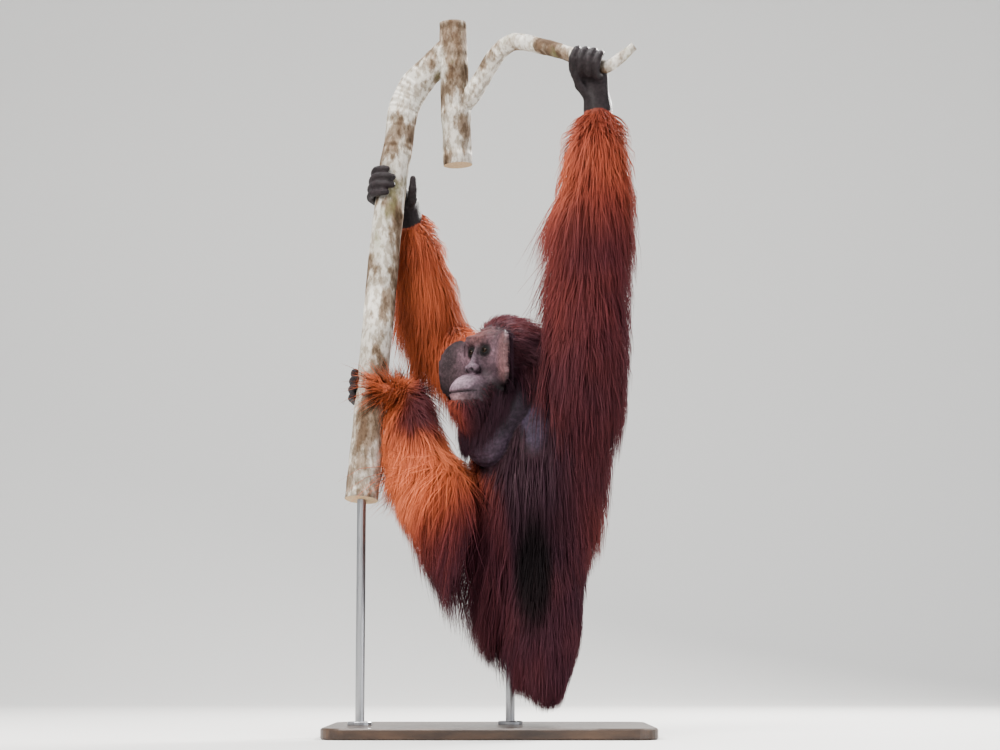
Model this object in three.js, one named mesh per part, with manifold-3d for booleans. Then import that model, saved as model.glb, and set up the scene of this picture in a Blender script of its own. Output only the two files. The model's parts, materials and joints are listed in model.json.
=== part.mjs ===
// A life-size adult male orangutan with cheek flanges, hanging from a forked bough on a plain display stand.
// Millimetres, +Z up, origin at the centre of the base's underside. +X is the viewer's right, and -Y is
// towards the viewer.
import * as THREE from "three";
import { mergeVertices } from "three/addons/utils/BufferGeometryUtils.js";
import Module from "manifold-3d";

const wasm = await Module();
wasm.setup();

// Gap between pieces that touch.
const GAP = 0.3;

const V = (x, y, z) => new THREE.Vector3(x, y, z);
const UP = V(0, 0, 1);

// Joints of the skeleton.
const NECK = V(165, 8, 975);
const CHEST = V(150, 0, 831);
const BELLY = V(112, -10, 641);
const PELVIS = V(105, -5, 499);
const RUMP = V(112, 10, 392);
const SHOULDER_LEFT = V(252, -95, 990);
const ELBOW_LEFT = V(288, -75, 1362);
const WRIST_LEFT = V(303, -38, 1728);
const SHOULDER_RIGHT = V(72, 100, 955);
const ELBOW_RIGHT = V(-156, 285, 1125);
const WRIST_RIGHT = V(-236, 228, 1482);
const HIP_LEFT = V(150, -60, 485);
const KNEE_LEFT = V(150, -130, 215);
const ANKLE_LEFT = V(152, 95, 322);
const HIP_RIGHT = V(89, 30, 520);
const KNEE_RIGHT = V(-160, -42, 672);
const ANKLE_RIGHT = V(-236, 62, 918);

// The body faces halfway between the viewer and the viewer's left.
const BODY_LEFT = V(1, -1, 0).normalize();

// The head, in its own frame: forward, to its left, and up.
const HEAD_CENTRE = V(36, -70, 1017);
const HEAD_TURN = (52 * Math.PI) / 180;
const HEAD_FORWARD = V(-Math.sin(HEAD_TURN), -Math.cos(HEAD_TURN), 0);
const HEAD_LEFT = UP.clone().cross(HEAD_FORWARD);
const EYE_RADIUS = 12;
const EYE_FORWARD = 80;
const EYE_SIDE = 30;
const EYE_UP = 21.5;
const LID_REACH = 14.5;
const LID_HALF = 13;

// Bough.
const TRUNK_PATH = [
  V(-353, -10, 642), V(-332, 40, 925), V(-306, 108, 1306), V(-283, 152, 1562), V(-265, 172, 1700),
  V(-252, 180, 1790), V(-222, 176, 1856), V(-176, 164, 1908), V(-118, 148, 1960),
];
const TRUNK_RADIUS = 43;
const FORK_TOP = V(-109, 140, 2040);
const FORK_FOOT = V(-93, 140, 1618);
const FORK_RADIUS = 41;
const BRANCH_PATH = [
  V(-99, 140, 1787), V(-62, 125, 1812), V(-21, 95, 1866), V(22, 62, 1930), V(71, 30, 1951),
  V(141, -10, 1928), V(230, -55, 1889), V(279, -80, 1862), V(331, -95, 1847), V(401, -110, 1899),
];
const BRANCH_RADII = [28, 27, 26, 25, 24, 22, 21, 20, 17, 12];

// Display stand.
const BASE_LENGTH = 880;
const BASE_DEPTH = 640;
const BASE_HEIGHT = 30;
const BASE_CORNER = 60;
const BASE_EDGE = 4;
const ROD_RADIUS = 12.5;
const COLLAR_RADIUS = 34;
const COLLAR_HEIGHT = 9;
const BODY_ROD = { x: 56, y: 55 };

// A closed three.js geometry as a solid.
function solid(geometry) {
  const place = geometry.getAttribute("position").clone();
  const bare = new THREE.BufferGeometry().setAttribute("position", place);
  if (geometry.index) bare.setIndex(geometry.index.clone());
  const merged = mergeVertices(bare, 1e-3);
  const faces = [];
  const corner = merged.index.array;
  for (let i = 0; i < corner.length; i += 3) {
    const [a, b, c] = [corner[i], corner[i + 1], corner[i + 2]];
    if (a !== b && b !== c && c !== a) faces.push(a, b, c);
  }
  return new wasm.Manifold(new wasm.Mesh({
    numProp: 3,
    vertProperties: merged.attributes.position.array,
    triVerts: new Uint32Array(faces),
  }));
}

// A solid as a three.js geometry.
function geometryOf(made) {
  const mesh = made.getMesh();
  const points = new Float32Array(mesh.numVert * 3);
  for (let i = 0; i < mesh.numVert; i++) {
    points.set(mesh.vertProperties.subarray(i * mesh.numProp, i * mesh.numProp + 3), i * 3);
  }
  const geometry = new THREE.BufferGeometry()
    .setAttribute("position", new THREE.BufferAttribute(points, 3))
    .setIndex(new THREE.BufferAttribute(new Uint32Array(mesh.triVerts), 1));
  geometry.computeVertexNormals();
  return geometry;
}

// A solid with every face moved out by grow. Corners move further, so the faces beside them keep it too.
function swollen(made, grow = GAP) {
  const geometry = geometryOf(made);
  const place = geometry.getAttribute("position");
  const normal = geometry.getAttribute("normal");
  const corner = geometry.index.array;
  const least = new Float32Array(place.count).fill(1);
  const [a, b, c] = [V(0, 0, 0), V(0, 0, 0), V(0, 0, 0)];
  const face = new THREE.Triangle(a, b, c);
  const facing = V(0, 0, 0);
  for (let i = 0; i < corner.length; i += 3) {
    a.fromBufferAttribute(place, corner[i]);
    b.fromBufferAttribute(place, corner[i + 1]);
    c.fromBufferAttribute(place, corner[i + 2]);
    if (face.getArea() < 1e-4) continue;
    face.getNormal(facing);
    for (const k of [corner[i], corner[i + 1], corner[i + 2]]) {
      const lean = facing.x * normal.getX(k) + facing.y * normal.getY(k) + facing.z * normal.getZ(k);
      least[k] = Math.min(least[k], lean);
    }
  }
  for (let i = 0; i < place.count; i++) {
    const step = grow / Math.max(least[i], 0.3);
    place.setXYZ(i, place.getX(i) + step * normal.getX(i), place.getY(i) + step * normal.getY(i),
      place.getZ(i) + step * normal.getZ(i));
  }
  return solid(geometry);
}

// Copies of a solid, moved by distance along the eight diagonals.
function nudged(made, distance) {
  const ends = [-distance, distance];
  return ends.flatMap((x) => ends.flatMap((y) => ends.map((z) => made.translate([x, y, z]))));
}

// What is left of one solid beside others, with the gap that touching pieces keep.
function beside(made, ...others) {
  return others.reduce((left, other) => {
    const wide = swollen(other);
    if (left.intersect(wide).volume() <= 0) return left;
    const clear = left.subtract(wide);
    if (nudged(other, GAP / 3).every((copy) => clear.intersect(copy).volume() < 1e-6)) return clear;
    const copies = [other, ...nudged(other, GAP / 3), ...nudged(other, GAP / 1.5)];
    return copies.reduce((rest, copy) => rest.subtract(copy), clear);
  }, made);
}

// The largest closed piece of a solid, with the corners that all but meet made one.
function largest(made) {
  let pieces = made.decompose();
  for (let pass = 0; pass < 6; pass++) {
    const best = pieces.reduce((most, piece) => (piece.volume() > most.volume() ? piece : most));
    pieces = solid(geometryOf(best)).decompose();
    if (pieces.length === 1) break;
  }
  return pieces.reduce((most, piece) => (piece.volume() > most.volume() ? piece : most));
}

const cutClear = (form, ...others) => largest(beside(form, ...others));

// The side of a solid that lies along direction from a plane through point, half a gap back from it.
function cutAt(made, point, direction) {
  const n = direction.clone().normalize();
  return made.trimByPlane([n.x, n.y, n.z], n.dot(point) + GAP / 2);
}

// Value of a list at t from 0 to 1, with its entries spread evenly.
function along(list, t) {
  const place = Math.min(Math.max(t, 0), 1) * (list.length - 1);
  const i = Math.min(Math.floor(place), list.length - 2);
  return list[i] + (list[i + 1] - list[i]) * (place - i);
}

// A sphere drawn out along a path. Its sections are ellipses: wide across, in the plane of side, and deep at
// right angles to that. cap is the share of the path that rounds each end, and drop lowers each section.
function loft({
  path, wide, deep = wide, side = BODY_LEFT, sides = 12, rings = 10, cap = 0.12, endCap = cap, drop = [0, 0],
}) {
  const curve = new THREE.CatmullRomCurve3(path, false, "centripetal");
  const geometry = new THREE.SphereGeometry(1, sides, rings, Math.PI / sides);
  const place = geometry.getAttribute("position");
  const p = V(0, 0, 0);
  for (let i = 0; i < place.count; i++) {
    p.fromBufferAttribute(place, i);
    const t = Math.acos(Math.min(Math.max(-p.y, -1), 1)) / Math.PI;
    const round = Math.hypot(p.x, p.z);
    const turn = Math.atan2(p.z, p.x);
    const start = cap > 0 ? Math.min(t / cap, 1) : 1;
    const end = endCap > 0 ? Math.min((1 - t) / endCap, 1) : 1;
    const share = round < 1e-6 ? 0 : Math.sqrt(1 - (1 - start) ** 2) * Math.sqrt(1 - (1 - end) ** 2);
    const tangent = curve.getTangentAt(t);
    const across = side.clone().addScaledVector(tangent, -side.dot(tangent)).normalize();
    const normal = tangent.clone().cross(across);
    const centre = curve.getPointAt(t);
    centre.z -= along(drop, t);
    centre.addScaledVector(across, Math.cos(turn) * share * along(wide, t));
    centre.addScaledVector(normal, -Math.sin(turn) * share * along(deep, t));
    place.setXYZ(i, centre.x, centre.y, centre.z);
  }
  return upright(geometry);
}

// The solid of a geometry, turned right side out.
function upright(geometry) {
  const made = solid(geometry);
  if (made.volume() > 0) return made;
  const turned = geometry.clone();
  const index = turned.index.array;
  for (let i = 0; i < index.length; i += 3) [index[i + 1], index[i + 2]] = [index[i + 2], index[i + 1]];
  return solid(turned);
}

// A scaled ball.
function ball(centre, radii, sides = 16, rings = 12) {
  const geometry = new THREE.SphereGeometry(1, sides, rings);
  geometry.rotateX(Math.PI / 2);
  geometry.scale(...radii);
  geometry.translate(centre.x, centre.y, centre.z);
  return solid(geometry);
}

const union = (...pieces) => pieces.reduce((whole, piece) => whole.add(piece));

// The point of the body's frame at (forward, left, up) of the head.
function inHead(f, l, u) {
  return HEAD_CENTRE.clone().addScaledVector(HEAD_FORWARD, f).addScaledVector(HEAD_LEFT, l)
    .addScaledVector(UP, u);
}

// Moves a geometry from the head's frame, where x is forward, y left and z up, to the body's frame.
function placeInHead(geometry) {
  const frame = new THREE.Matrix4().makeBasis(HEAD_FORWARD, HEAD_LEFT, UP).setPosition(HEAD_CENTRE);
  return geometry.applyMatrix4(frame);
}

// Smooth blends of distances: the nearer of two, and the first without the second.
function blend(a, b, k) {
  const h = Math.max(k - Math.abs(a - b), 0) / k;
  return Math.min(a, b) - (h * h * k) / 4;
}
const carve = (a, b, k) => -blend(-a, b, k);

// Distance from p to an ellipsoid, near enough for blending.
function ellipsoid(p, centre, radii) {
  const q = p.clone().sub(centre);
  const scaled = Math.hypot(q.x / radii[0], q.y / radii[1], q.z / radii[2]);
  const slope = Math.hypot(q.x / radii[0] ** 2, q.y / radii[1] ** 2, q.z / radii[2] ** 2);
  return slope < 1e-9 ? -Math.min(...radii) : (scaled * (scaled - 1)) / slope;
}

// Distance to the bar between a and b.
function bar(p, a, b, radius) {
  const line = new THREE.Line3(a, b);
  return line.closestPointToPoint(p, true, V(0, 0, 0)).distanceTo(p) - radius;
}

// Distance to the skin of the head without its cheek flanges, in the head's frame.
function headShape(p) {
  const mirrored = V(p.x, Math.abs(p.y), p.z);
  let d = ellipsoid(p, V(-15, 0, 24), [97, 80, 94]);
  d = blend(d, ellipsoid(p, V(38, 0, 14), [50, 70, 66]), 30);
  d = blend(d, ellipsoid(p, V(10, 0, -75), [82, 74, 64]), 40);
  d = blend(d, ellipsoid(p, V(92, 0, -88), [80, 54, 47]), 18);
  d = blend(d, ellipsoid(p, V(88, 0, -124), [80, 51, 40]), 10);
  d = blend(d, bar(p, V(78, -42, 55), V(78, 42, 55), 16), 16);
  d = blend(d, bar(p, V(88, 0, 22), V(108, 0, -18), 8), 16);
  d = blend(d, ellipsoid(p, V(105, 0, -26), [17, 25, 12]), 8);
  d = carve(d, ellipsoid(mirrored, V(103, 31, 23), [25, 21, 15]), 12);
  return d;
}

// Distance to the throat sac, in the head's frame.
function sacShape(p) {
  const upper = ellipsoid(p, V(0, 0, -112), [90, 106, 95]);
  return blend(upper, ellipsoid(p, V(44, -12, -200), [60, 74, 92]), 45);
}

// A ball whose vertices move out from centre to where shape is zero. Its rows crowd towards +X by focus.
function shrinkWrap(shape, centre, reach, sides, rings, focus = 1) {
  const geometry = new THREE.SphereGeometry(1, sides, rings);
  geometry.rotateZ(-Math.PI / 2);
  const place = geometry.getAttribute("position");
  const p = V(0, 0, 0);
  for (let i = 0; i < place.count; i++) {
    const way = V(0, 0, 0).fromBufferAttribute(place, i);
    const polar = Math.acos(Math.min(Math.max(way.x, -1), 1)) / Math.PI;
    const turned = Math.PI * polar ** focus;
    const across = Math.hypot(way.y, way.z) || 1;
    way.set(Math.cos(turned), (way.y / across) * Math.sin(turned), (way.z / across) * Math.sin(turned));
    let [near, far] = [0, reach];
    for (let r = reach; r > 0; r -= reach / 80) {
      if (shape(p.copy(centre).addScaledVector(way, r)) < 0) {
        near = r;
        break;
      }
      far = r;
    }
    for (let k = 0; k < 14; k++) {
      const middle = (near + far) / 2;
      if (shape(p.copy(centre).addScaledVector(way, middle)) < 0) near = middle;
      else far = middle;
    }
    p.copy(centre).addScaledVector(way, near);
    place.setXYZ(i, p.x, p.y, p.z);
  }
  return geometry;
}

// A bead of round section through points.
function bead(points, radius, sides = 6, rings = 8, side = UP) {
  return loft({ path: points, wide: radius, side, sides, rings, cap: 0.15 });
}

function makeEye(sign) {
  return ball(inHead(EYE_FORWARD, sign * EYE_SIDE, EYE_UP), [EYE_RADIUS, EYE_RADIUS, EYE_RADIUS], 10, 8);
}

// Rims of the two lids, as beads that lie on the front of the eyeball.
function makeLids(sign) {
  const rim = (rise) => {
    const points = [];
    for (let i = 0; i <= 6; i++) {
      const sweep = -1 + i / 3;
      const lifted = rise * (1 - sweep ** 2);
      const f = EYE_FORWARD + Math.sqrt(Math.max(LID_REACH ** 2 - (LID_HALF * sweep) ** 2 - lifted ** 2, 4));
      points.push(inHead(f - 1.5, sign * (EYE_SIDE + LID_HALF * sweep), EYE_UP + lifted));
    }
    return bead(points, [2.6, 3.6, 3.6, 2.6], 5, 7, HEAD_FORWARD);
  };
  return union(rim(8), rim(-6.5));
}

// Line of the closed mouth, cut along the front of the muzzle.
function mouthLine() {
  const points = [];
  for (let i = 0; i <= 12; i++) {
    const turn = ((i - 6) / 6) * 0.9;
    points.push(inHead(92 + 80 * Math.cos(turn), 57 * Math.sin(turn), -97 + 6 * Math.sin(turn) ** 2));
  }
  return bead(points, [3, 4, 4, 4, 3], 5, 14);
}

function nostril(sign) {
  const points = [inHead(130, sign * 13, -31), inHead(108, sign * 9, -25)];
  return loft({
    path: points, wide: [6.5, 5.5], deep: [4.6, 4], side: HEAD_LEFT, sides: 8, rings: 5, cap: 0.3,
  });
}

function makeHead() {
  const shape = solid(placeInHead(shrinkWrap(headShape, V(35, 0, -30), 220, 30, 22, 1.25)));
  const lidded = union(shape, makeLids(1), makeLids(-1));
  const cut = union(mouthLine(), nostril(1), nostril(-1));
  return [shape, lidded.subtract(cut)];
}

// The small ear that lies behind the flange: an oval cup.
function makeEar(sign) {
  const outer = ball(inHead(-12, sign * 80, 8), [15, 15, 21], 10, 7);
  const cup = ball(inHead(-4, sign * 95, 9), [10, 11, 14], 8, 6);
  return outer.subtract(cup);
}

// A cheek flange: a thick pad that stands out from the cheek, with its outer rim curled forward.
function makeFlange(sign) {
  const [side, reach, half, low] = sign > 0 ? [92, 60, 78, -4] : [105, 74, 86, -18];
  const geometry = new THREE.SphereGeometry(1, 16, 12);
  const place = geometry.getAttribute("position");
  for (let i = 0; i < place.count; i++) {
    const [t, s, h] = [place.getX(i), place.getY(i), place.getZ(i)];
    const out = Math.min(Math.max((reach * (1 + s)) / (2 * reach - 4), 0), 1);
    const thick = 20 + 4 * out;
    const middle = 58 + 32 * out ** 1.6 - 12 * h * h * out;
    const f = middle + thick * Math.sign(t) * Math.pow(Math.abs(t), 0.75);
    place.setXYZ(i, f, sign * (side + reach * s), low + half * h);
  }
  return upright(placeInHead(geometry));
}

function makeSac() {
  return solid(placeInHead(shrinkWrap(sacShape, V(20, -4, -150), 230, 18, 13)));
}

// A ring of points round an axis, from one angle to another. Angle 0 points along zero, and positive turns go
// from zero towards the cross product of axis and zero.
function roundAxis(centre, axis, zero, radius, from, to, steps) {
  const n = axis.clone().normalize();
  const e = zero.clone().addScaledVector(n, -zero.dot(n)).normalize();
  const q = n.clone().cross(e);
  const points = [];
  for (let i = 0; i <= steps; i++) {
    const turn = ((from + ((to - from) * i) / steps) * Math.PI) / 180;
    points.push(centre.clone().addScaledVector(e, Math.cos(turn) * radius)
      .addScaledVector(q, Math.sin(turn) * radius));
  }
  return points;
}

const TOWARDS_VIEWER = V(0, -1, 0);
const FINGER_RADIUS = 11.5;
const FINGER_PITCH = 24;

// Fingers or toes that curl round a round bar, side by side along it.
function curledDigits({ centre, axis, barRadius, count, from, to }) {
  const digits = [];
  for (let i = 0; i < count; i++) {
    const place = centre.clone().addScaledVector(axis, (i - (count - 1) / 2) * FINGER_PITCH);
    const thin = FINGER_RADIUS * (i === 0 || i === count - 1 ? 0.9 : 1);
    const path = roundAxis(place, axis, TOWARDS_VIEWER, barRadius + thin, from, to[i], 6);
    digits.push(loft({
      path, side: axis, sides: 6, rings: 9, cap: 0.08, endCap: 0.1,
      wide: [thin * 1.1, thin, thin * 1.1, thin * 0.95, thin, thin * 0.85],
    }));
  }
  return union(...digits);
}

function makeHandLeft(branch) {
  const grip = V(276, -79, 1862);
  const axis = V(0.9, -0.34, -0.28).normalize();
  const palmTop = grip.clone().addScaledVector(V(0.1, 1, 0.25), 36);
  const palm = loft({
    path: [
      WRIST_LEFT.clone().add(V(0, 0, -10)), V(300, -34, 1775), V(288, -32, 1825), palmTop.clone().add(V(0, 6, 22)),
    ],
    wide: [34, 44, 50, 50], deep: [26, 24, 20, 18], side: axis, sides: 12, rings: 7, cap: 0.04, endCap: 0.2,
  });
  const fingers = curledDigits({
    centre: grip, axis, barRadius: 21, count: 4, from: 160, to: [-58, -66, -72, -60],
  });
  const thumb = loft({
    path: [V(275, -40, 1775), V(248, -58, 1802), V(236, -76, 1830), V(232, -92, 1850)],
    wide: [17, 13, 11, 10], side: axis, sides: 7, rings: 7, cap: 0.12,
  });
  return largest(beside(union(palm, fingers, thumb), branch));
}

function makeHandRight(trunk) {
  const grip = V(-285, 148, 1553);
  const axis = V(0.14, 0.17, 0.97).normalize();
  const palm = loft({
    path: [
      WRIST_RIGHT.clone().add(V(2, -4, -20)), V(-240, 222, 1515), V(-262, 220, 1545), V(-300, 212, 1556),
      V(-324, 190, 1558),
    ],
    wide: [30, 40, 50, 50, 46], deep: [27, 24, 20, 17, 14],
    side: UP, sides: 12, rings: 8, cap: 0.04, endCap: 0.12,
  });
  const fingers = curledDigits({
    centre: grip, axis, barRadius: TRUNK_RADIUS, count: 4, from: -150, to: [-8, 6, 4, -18],
  });
  const thumb = loft({
    path: [V(-234, 196, 1505), V(-227, 158, 1522), V(-224, 138, 1550), V(-222, 130, 1580)],
    wide: [18, 14, 11, 9], side: UP, sides: 7, rings: 7, cap: 0.12,
  });
  return largest(beside(union(palm, fingers, thumb), trunk));
}

function makeFootRight(trunk) {
  const grip = V(-328, 52, 962);
  const axis = V(0.08, 0.18, 0.97).normalize();
  const sole = loft({
    path: [V(-224, 48, 905), V(-236, 92, 922), V(-262, 124, 942), V(-310, 130, 958), V(-352, 108, 964)],
    wide: [32, 40, 46, 48, 44], deep: [30, 28, 24, 19, 15],
    side: UP, sides: 12, rings: 8, cap: 0.12, endCap: 0.12,
  });
  const toes = curledDigits({
    centre: grip, axis, barRadius: TRUNK_RADIUS, count: 4, from: -150, to: [-66, -60, -58, -70],
  });
  const hallux = loft({
    path: [V(-240, 60, 930), V(-262, 16, 940), V(-286, -8, 948), V(-306, -14, 952)],
    wide: [18, 15, 13, 11], side: UP, sides: 7, rings: 7, cap: 0.12,
  });
  return largest(beside(union(sole, toes, hallux), trunk));
}

// The free foot, hanging loosely with its toes curled.
function makeFootLeft() {
  const side = V(1, 0, 0);
  const sole = loft({
    path: [
      ANKLE_LEFT.clone().add(V(0, -4, 30)), V(153, 140, 312), V(152, 172, 262), V(150, 182, 205),
      V(148, 172, 170),
    ],
    wide: [34, 38, 44, 48, 44], deep: [32, 30, 22, 17, 14],
    side, sides: 12, rings: 8, cap: 0.1, endCap: 0.12,
  });
  const toes = [];
  for (let i = 0; i < 4; i++) {
    const x = 148 + (i - 1.5) * 23;
    const radius = i === 0 || i === 3 ? 10.5 : 11.5;
    toes.push(loft({
      path: [V(x, 176, 185), V(x, 168, 150), V(x, 142, 124), V(x, 112, 126), V(x, 98, 142)],
      wide: [radius, radius * 1.1, radius, radius * 0.85], side, sides: 6, rings: 9, cap: 0.1,
    }));
  }
  const hallux = loft({
    path: [V(116, 158, 268), V(98, 142, 244), V(96, 118, 228), V(102, 100, 222)],
    wide: [16, 14, 12, 10], side, sides: 7, rings: 7, cap: 0.12,
  });
  return largest(union(sole, ...toes, hallux));
}

// The core under the locks reaches half way to their tips.
const CORE_SHARE = 0.5;
const ARM_COAT = 58;
const LEG_COAT = 38;
const LOCK_ROOT = 18;
const LOWEST_HAIR = BASE_HEIGHT + 14;
const DOWN = V(0, 0, -1);

const grown = (radii, depths) => radii.map((r, i) => r + (Array.isArray(depths) ? depths[i] : depths));
const core = (depths) => depths.map((d) => d * CORE_SHARE);

// A steady stream of chance numbers from 0 to 1 for one seed.
function chance(seed) {
  let state = (seed * 7919) % 4096;
  return () => {
    state = (state * 1229 + 351) % 4096;
    return state / 4096;
  };
}

// One flat, tapered lock of hair. It leaves root between lie and outward, by lift, and bends down by fall at
// each step.
function lock({ root, outward, lie, lift, length, width, thick, fall }) {
  const steps = 3;
  const heading = lie.clone().addScaledVector(outward, -lie.dot(outward)).normalize()
    .multiplyScalar(1 - lift).addScaledVector(outward, lift).normalize();
  const side = outward.clone().cross(heading).normalize();
  const at = root.clone();
  const path = [root.clone().addScaledVector(outward, -LOCK_ROOT), at.clone()];
  for (let i = 0; i < steps; i++) {
    at.addScaledVector(heading, length / steps);
    path.push(at.clone());
    heading.multiplyScalar(1 - fall).addScaledVector(DOWN, fall).normalize();
  }
  return loft({
    path, side, sides: 4, rings: 4, cap: 0,
    wide: [0.6, 0.72, 0.66, 0.42, 0.1].map((share) => share * width),
    deep: [0.7, 0.7, 0.6, 0.45, 0.2].map((share) => share * thick),
  });
}

// Locks in staggered rows round a form. rows gives each row's place along the path, and lengths how long its
// locks are. keep says whether a lock may grow at a root.
function locksOn(form, {
  rows, count, lengths, width, lift, seed, thick = 15, lie = DOWN, fall = 0.45, keep = () => true,
}) {
  const curve = new THREE.CatmullRomCurve3(form.path, false, "centripetal");
  const draw = chance(seed);
  const locks = [];
  rows.forEach((t, row) => {
    const tangent = curve.getTangentAt(t);
    const across = (form.side ?? BODY_LEFT).clone();
    across.addScaledVector(tangent, -across.dot(tangent)).normalize();
    const normal = tangent.clone().cross(across);
    const [w, d] = [along(form.wide, t), along(form.deep ?? form.wide, t)];
    const centre = curve.getPointAt(t);
    centre.z -= along(form.drop ?? [0, 0], t);
    for (let i = 0; i < count; i++) {
      const turn = ((i + (row % 2) / 2 + 0.3 * (draw() - 0.5)) / count) * 2 * Math.PI;
      const [size, stretch] = [0.85 + 0.3 * draw(), 0.85 + 0.3 * draw()];
      const root = centre.clone().addScaledVector(across, Math.cos(turn) * w)
        .addScaledVector(normal, -Math.sin(turn) * d);
      const outward = across.clone().multiplyScalar(Math.cos(turn) / w)
        .addScaledVector(normal, -Math.sin(turn) / d).normalize();
      const length = along(lengths, rows.length > 1 ? row / (rows.length - 1) : 0) * stretch;
      if (!keep(root, outward)) continue;
      locks.push({ root, outward, lie, lift, length, width: width * size, thick, fall });
    }
  });
  return locks;
}

// Whether two solids keep the gap.
function apart(made, other) {
  const [a, b] = [made.boundingBox(), other.boundingBox()];
  for (let k = 0; k < 3; k++) {
    if (a.min[k] > b.max[k] + GAP || b.min[k] > a.max[k] + GAP) return true;
  }
  return swollen(made, 2 * GAP).intersect(other).volume() <= 0;
}

// A node with its locks fused on. A lock that meets another node is lifted, laid flatter or cut shorter until
// it is clear, and is left out where none of these clears it.
function withLocks(node, locks, others) {
  const bends = [
    [0, 1], [0.2, 1], [-0.2, 1], [0, 0.7], [0.2, 0.7], [-0.2, 0.7], [0.35, 0.6], [0, 0.45], [0.2, 0.45],
  ];
  const clear = locks.flatMap((one) => {
    for (const [lifted, short] of bends) {
      const lift = Math.min(Math.max(one.lift + lifted, 0.08), 0.95);
      const tried = lock({ ...one, lift, length: one.length * short });
      const high = tried.boundingBox().min[2] > LOWEST_HAIR;
      if (high && others.every((other) => apart(tried, other))) return [tried];
    }
    return [];
  });
  return largest(union(node, ...clear));
}

// One limb of two bones, as the solids on either side of its middle joint, and cut off at its end.
function limb({ joint, bend, end, endWay, ...form }) {
  const whole = loft(form);
  const upper = cutAt(whole, joint, bend.clone().negate());
  const lower = cutAt(cutAt(whole, joint, bend), end, endWay.clone().negate());
  return [upper, lower];
}

function armLeft() {
  const flesh = [70, 82, 76, 70, 62, 57, 62, 60, 48, 37, 34];
  const coat = [30, ARM_COAT, ARM_COAT, ARM_COAT, ARM_COAT, 64, 64, ARM_COAT, ARM_COAT, 30, 8];
  return {
    path: [V(205, -60, 900), SHOULDER_LEFT, SHOULDER_LEFT.clone().lerp(ELBOW_LEFT, 0.5), ELBOW_LEFT,
      ELBOW_LEFT.clone().lerp(WRIST_LEFT, 0.5), WRIST_LEFT, WRIST_LEFT.clone().add(V(0, 0, 40))],
    wide: grown(flesh, core(coat)), sides: 12, rings: 14, cap: 0.1, endCap: 0.04,
    joint: ELBOW_LEFT, bend: V(0.05, 0.08, 1), end: WRIST_LEFT, endWay: V(0, 0.05, 1),
  };
}

function armRight() {
  const flesh = [70, 80, 74, 66, 60, 58, 62, 58, 46, 35, 32];
  const coat = [30, 45, 45, 40, 40, 40, 40, 36, 30, 22, 8];
  return {
    path: [V(130, 60, 900), SHOULDER_RIGHT, SHOULDER_RIGHT.clone().lerp(ELBOW_RIGHT, 0.5),
      ELBOW_RIGHT.clone().add(V(8, -8, -8)), ELBOW_RIGHT.clone().lerp(WRIST_RIGHT, 0.5).add(V(-6, 6, 0)),
      WRIST_RIGHT, WRIST_RIGHT.clone().add(V(-4, -2, 40))],
    wide: grown(flesh, core(coat)), sides: 12, rings: 14, cap: 0.1, endCap: 0.04,
    joint: ELBOW_RIGHT, bend: V(-0.6, 0.2, 0.9), end: WRIST_RIGHT, endWay: V(-0.15, 0, 1),
  };
}

function legRight() {
  const flesh = [84, 94, 92, 84, 72, 60, 50, 46, 42, 36, 32];
  const top = grown(flesh, core([20, 40, 46, 46, 50, 44, LEG_COAT, LEG_COAT, 36, 30, 14]));
  const hang = core([110, 120, 110, 90, 70, 30, 0, 0, 0, 0, 0]).map((h) => h / 2);
  return {
    path: [V(140, 40, 500), HIP_RIGHT, HIP_RIGHT.clone().lerp(KNEE_RIGHT, 0.5), KNEE_RIGHT,
      KNEE_RIGHT.clone().lerp(ANKLE_RIGHT, 0.5).add(V(-12, 0, 0)), ANKLE_RIGHT,
      ANKLE_RIGHT.clone().add(V(-10, 16, 35))],
    wide: top, deep: grown(top, hang), drop: hang, side: V(0, 1, 0),
    sides: 12, rings: 14, cap: 0.06, endCap: 0.04,
    joint: KNEE_RIGHT, bend: V(-0.55, 0.1, 0.85), end: ANKLE_RIGHT, endWay: V(-0.2, 0.25, 0.95),
  };
}

const thighLeft = {
  path: [V(140, -30, 520), HIP_LEFT, HIP_LEFT.clone().lerp(KNEE_LEFT, 0.5), KNEE_LEFT, V(150, -128, 172)],
  wide: grown([82, 84, 76, 68, 62, 56], core([20, 30, 36, 36, 30, 0])), sides: 12, rings: 9, cap: 0.1,
};

const shinLeft = {
  path: [
    KNEE_LEFT.clone().add(V(0, -10, 0)), KNEE_LEFT.clone().lerp(ANKLE_LEFT, 0.5), ANKLE_LEFT, V(151, 130, 340),
  ],
  wide: grown([62, 62, 54, 40, 34], core([26, 30, 30, 22, 10])),
  side: V(1, 0, 0), sides: 12, rings: 8, cap: 0.1,
};

// The torso, down to the hair that hangs from the rump.
const torsoForm = {
  path: [NECK.clone().add(V(10, 0, 45)), NECK, CHEST, BELLY, PELVIS, RUMP, V(125, 16, 330)],
  wide: grown([85, 125, 160, 165, 162, 155, 145, 128, 105, 80], 14),
  deep: grown([75, 110, 142, 148, 148, 144, 134, 118, 100, 78], 13),
  sides: 16, rings: 13, cap: 0.12, endCap: 0.16,
};

// The neck, with the hair at the back of the head on it.
const nape = {
  path: [V(70, -50, 1000), V(120, -20, 985), NECK.clone().add(V(15, 5, 0))],
  wide: [98, 108, 118], deep: [88, 98, 104], side: BODY_LEFT, sides: 12, rings: 7, cap: 0.2,
};

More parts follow.
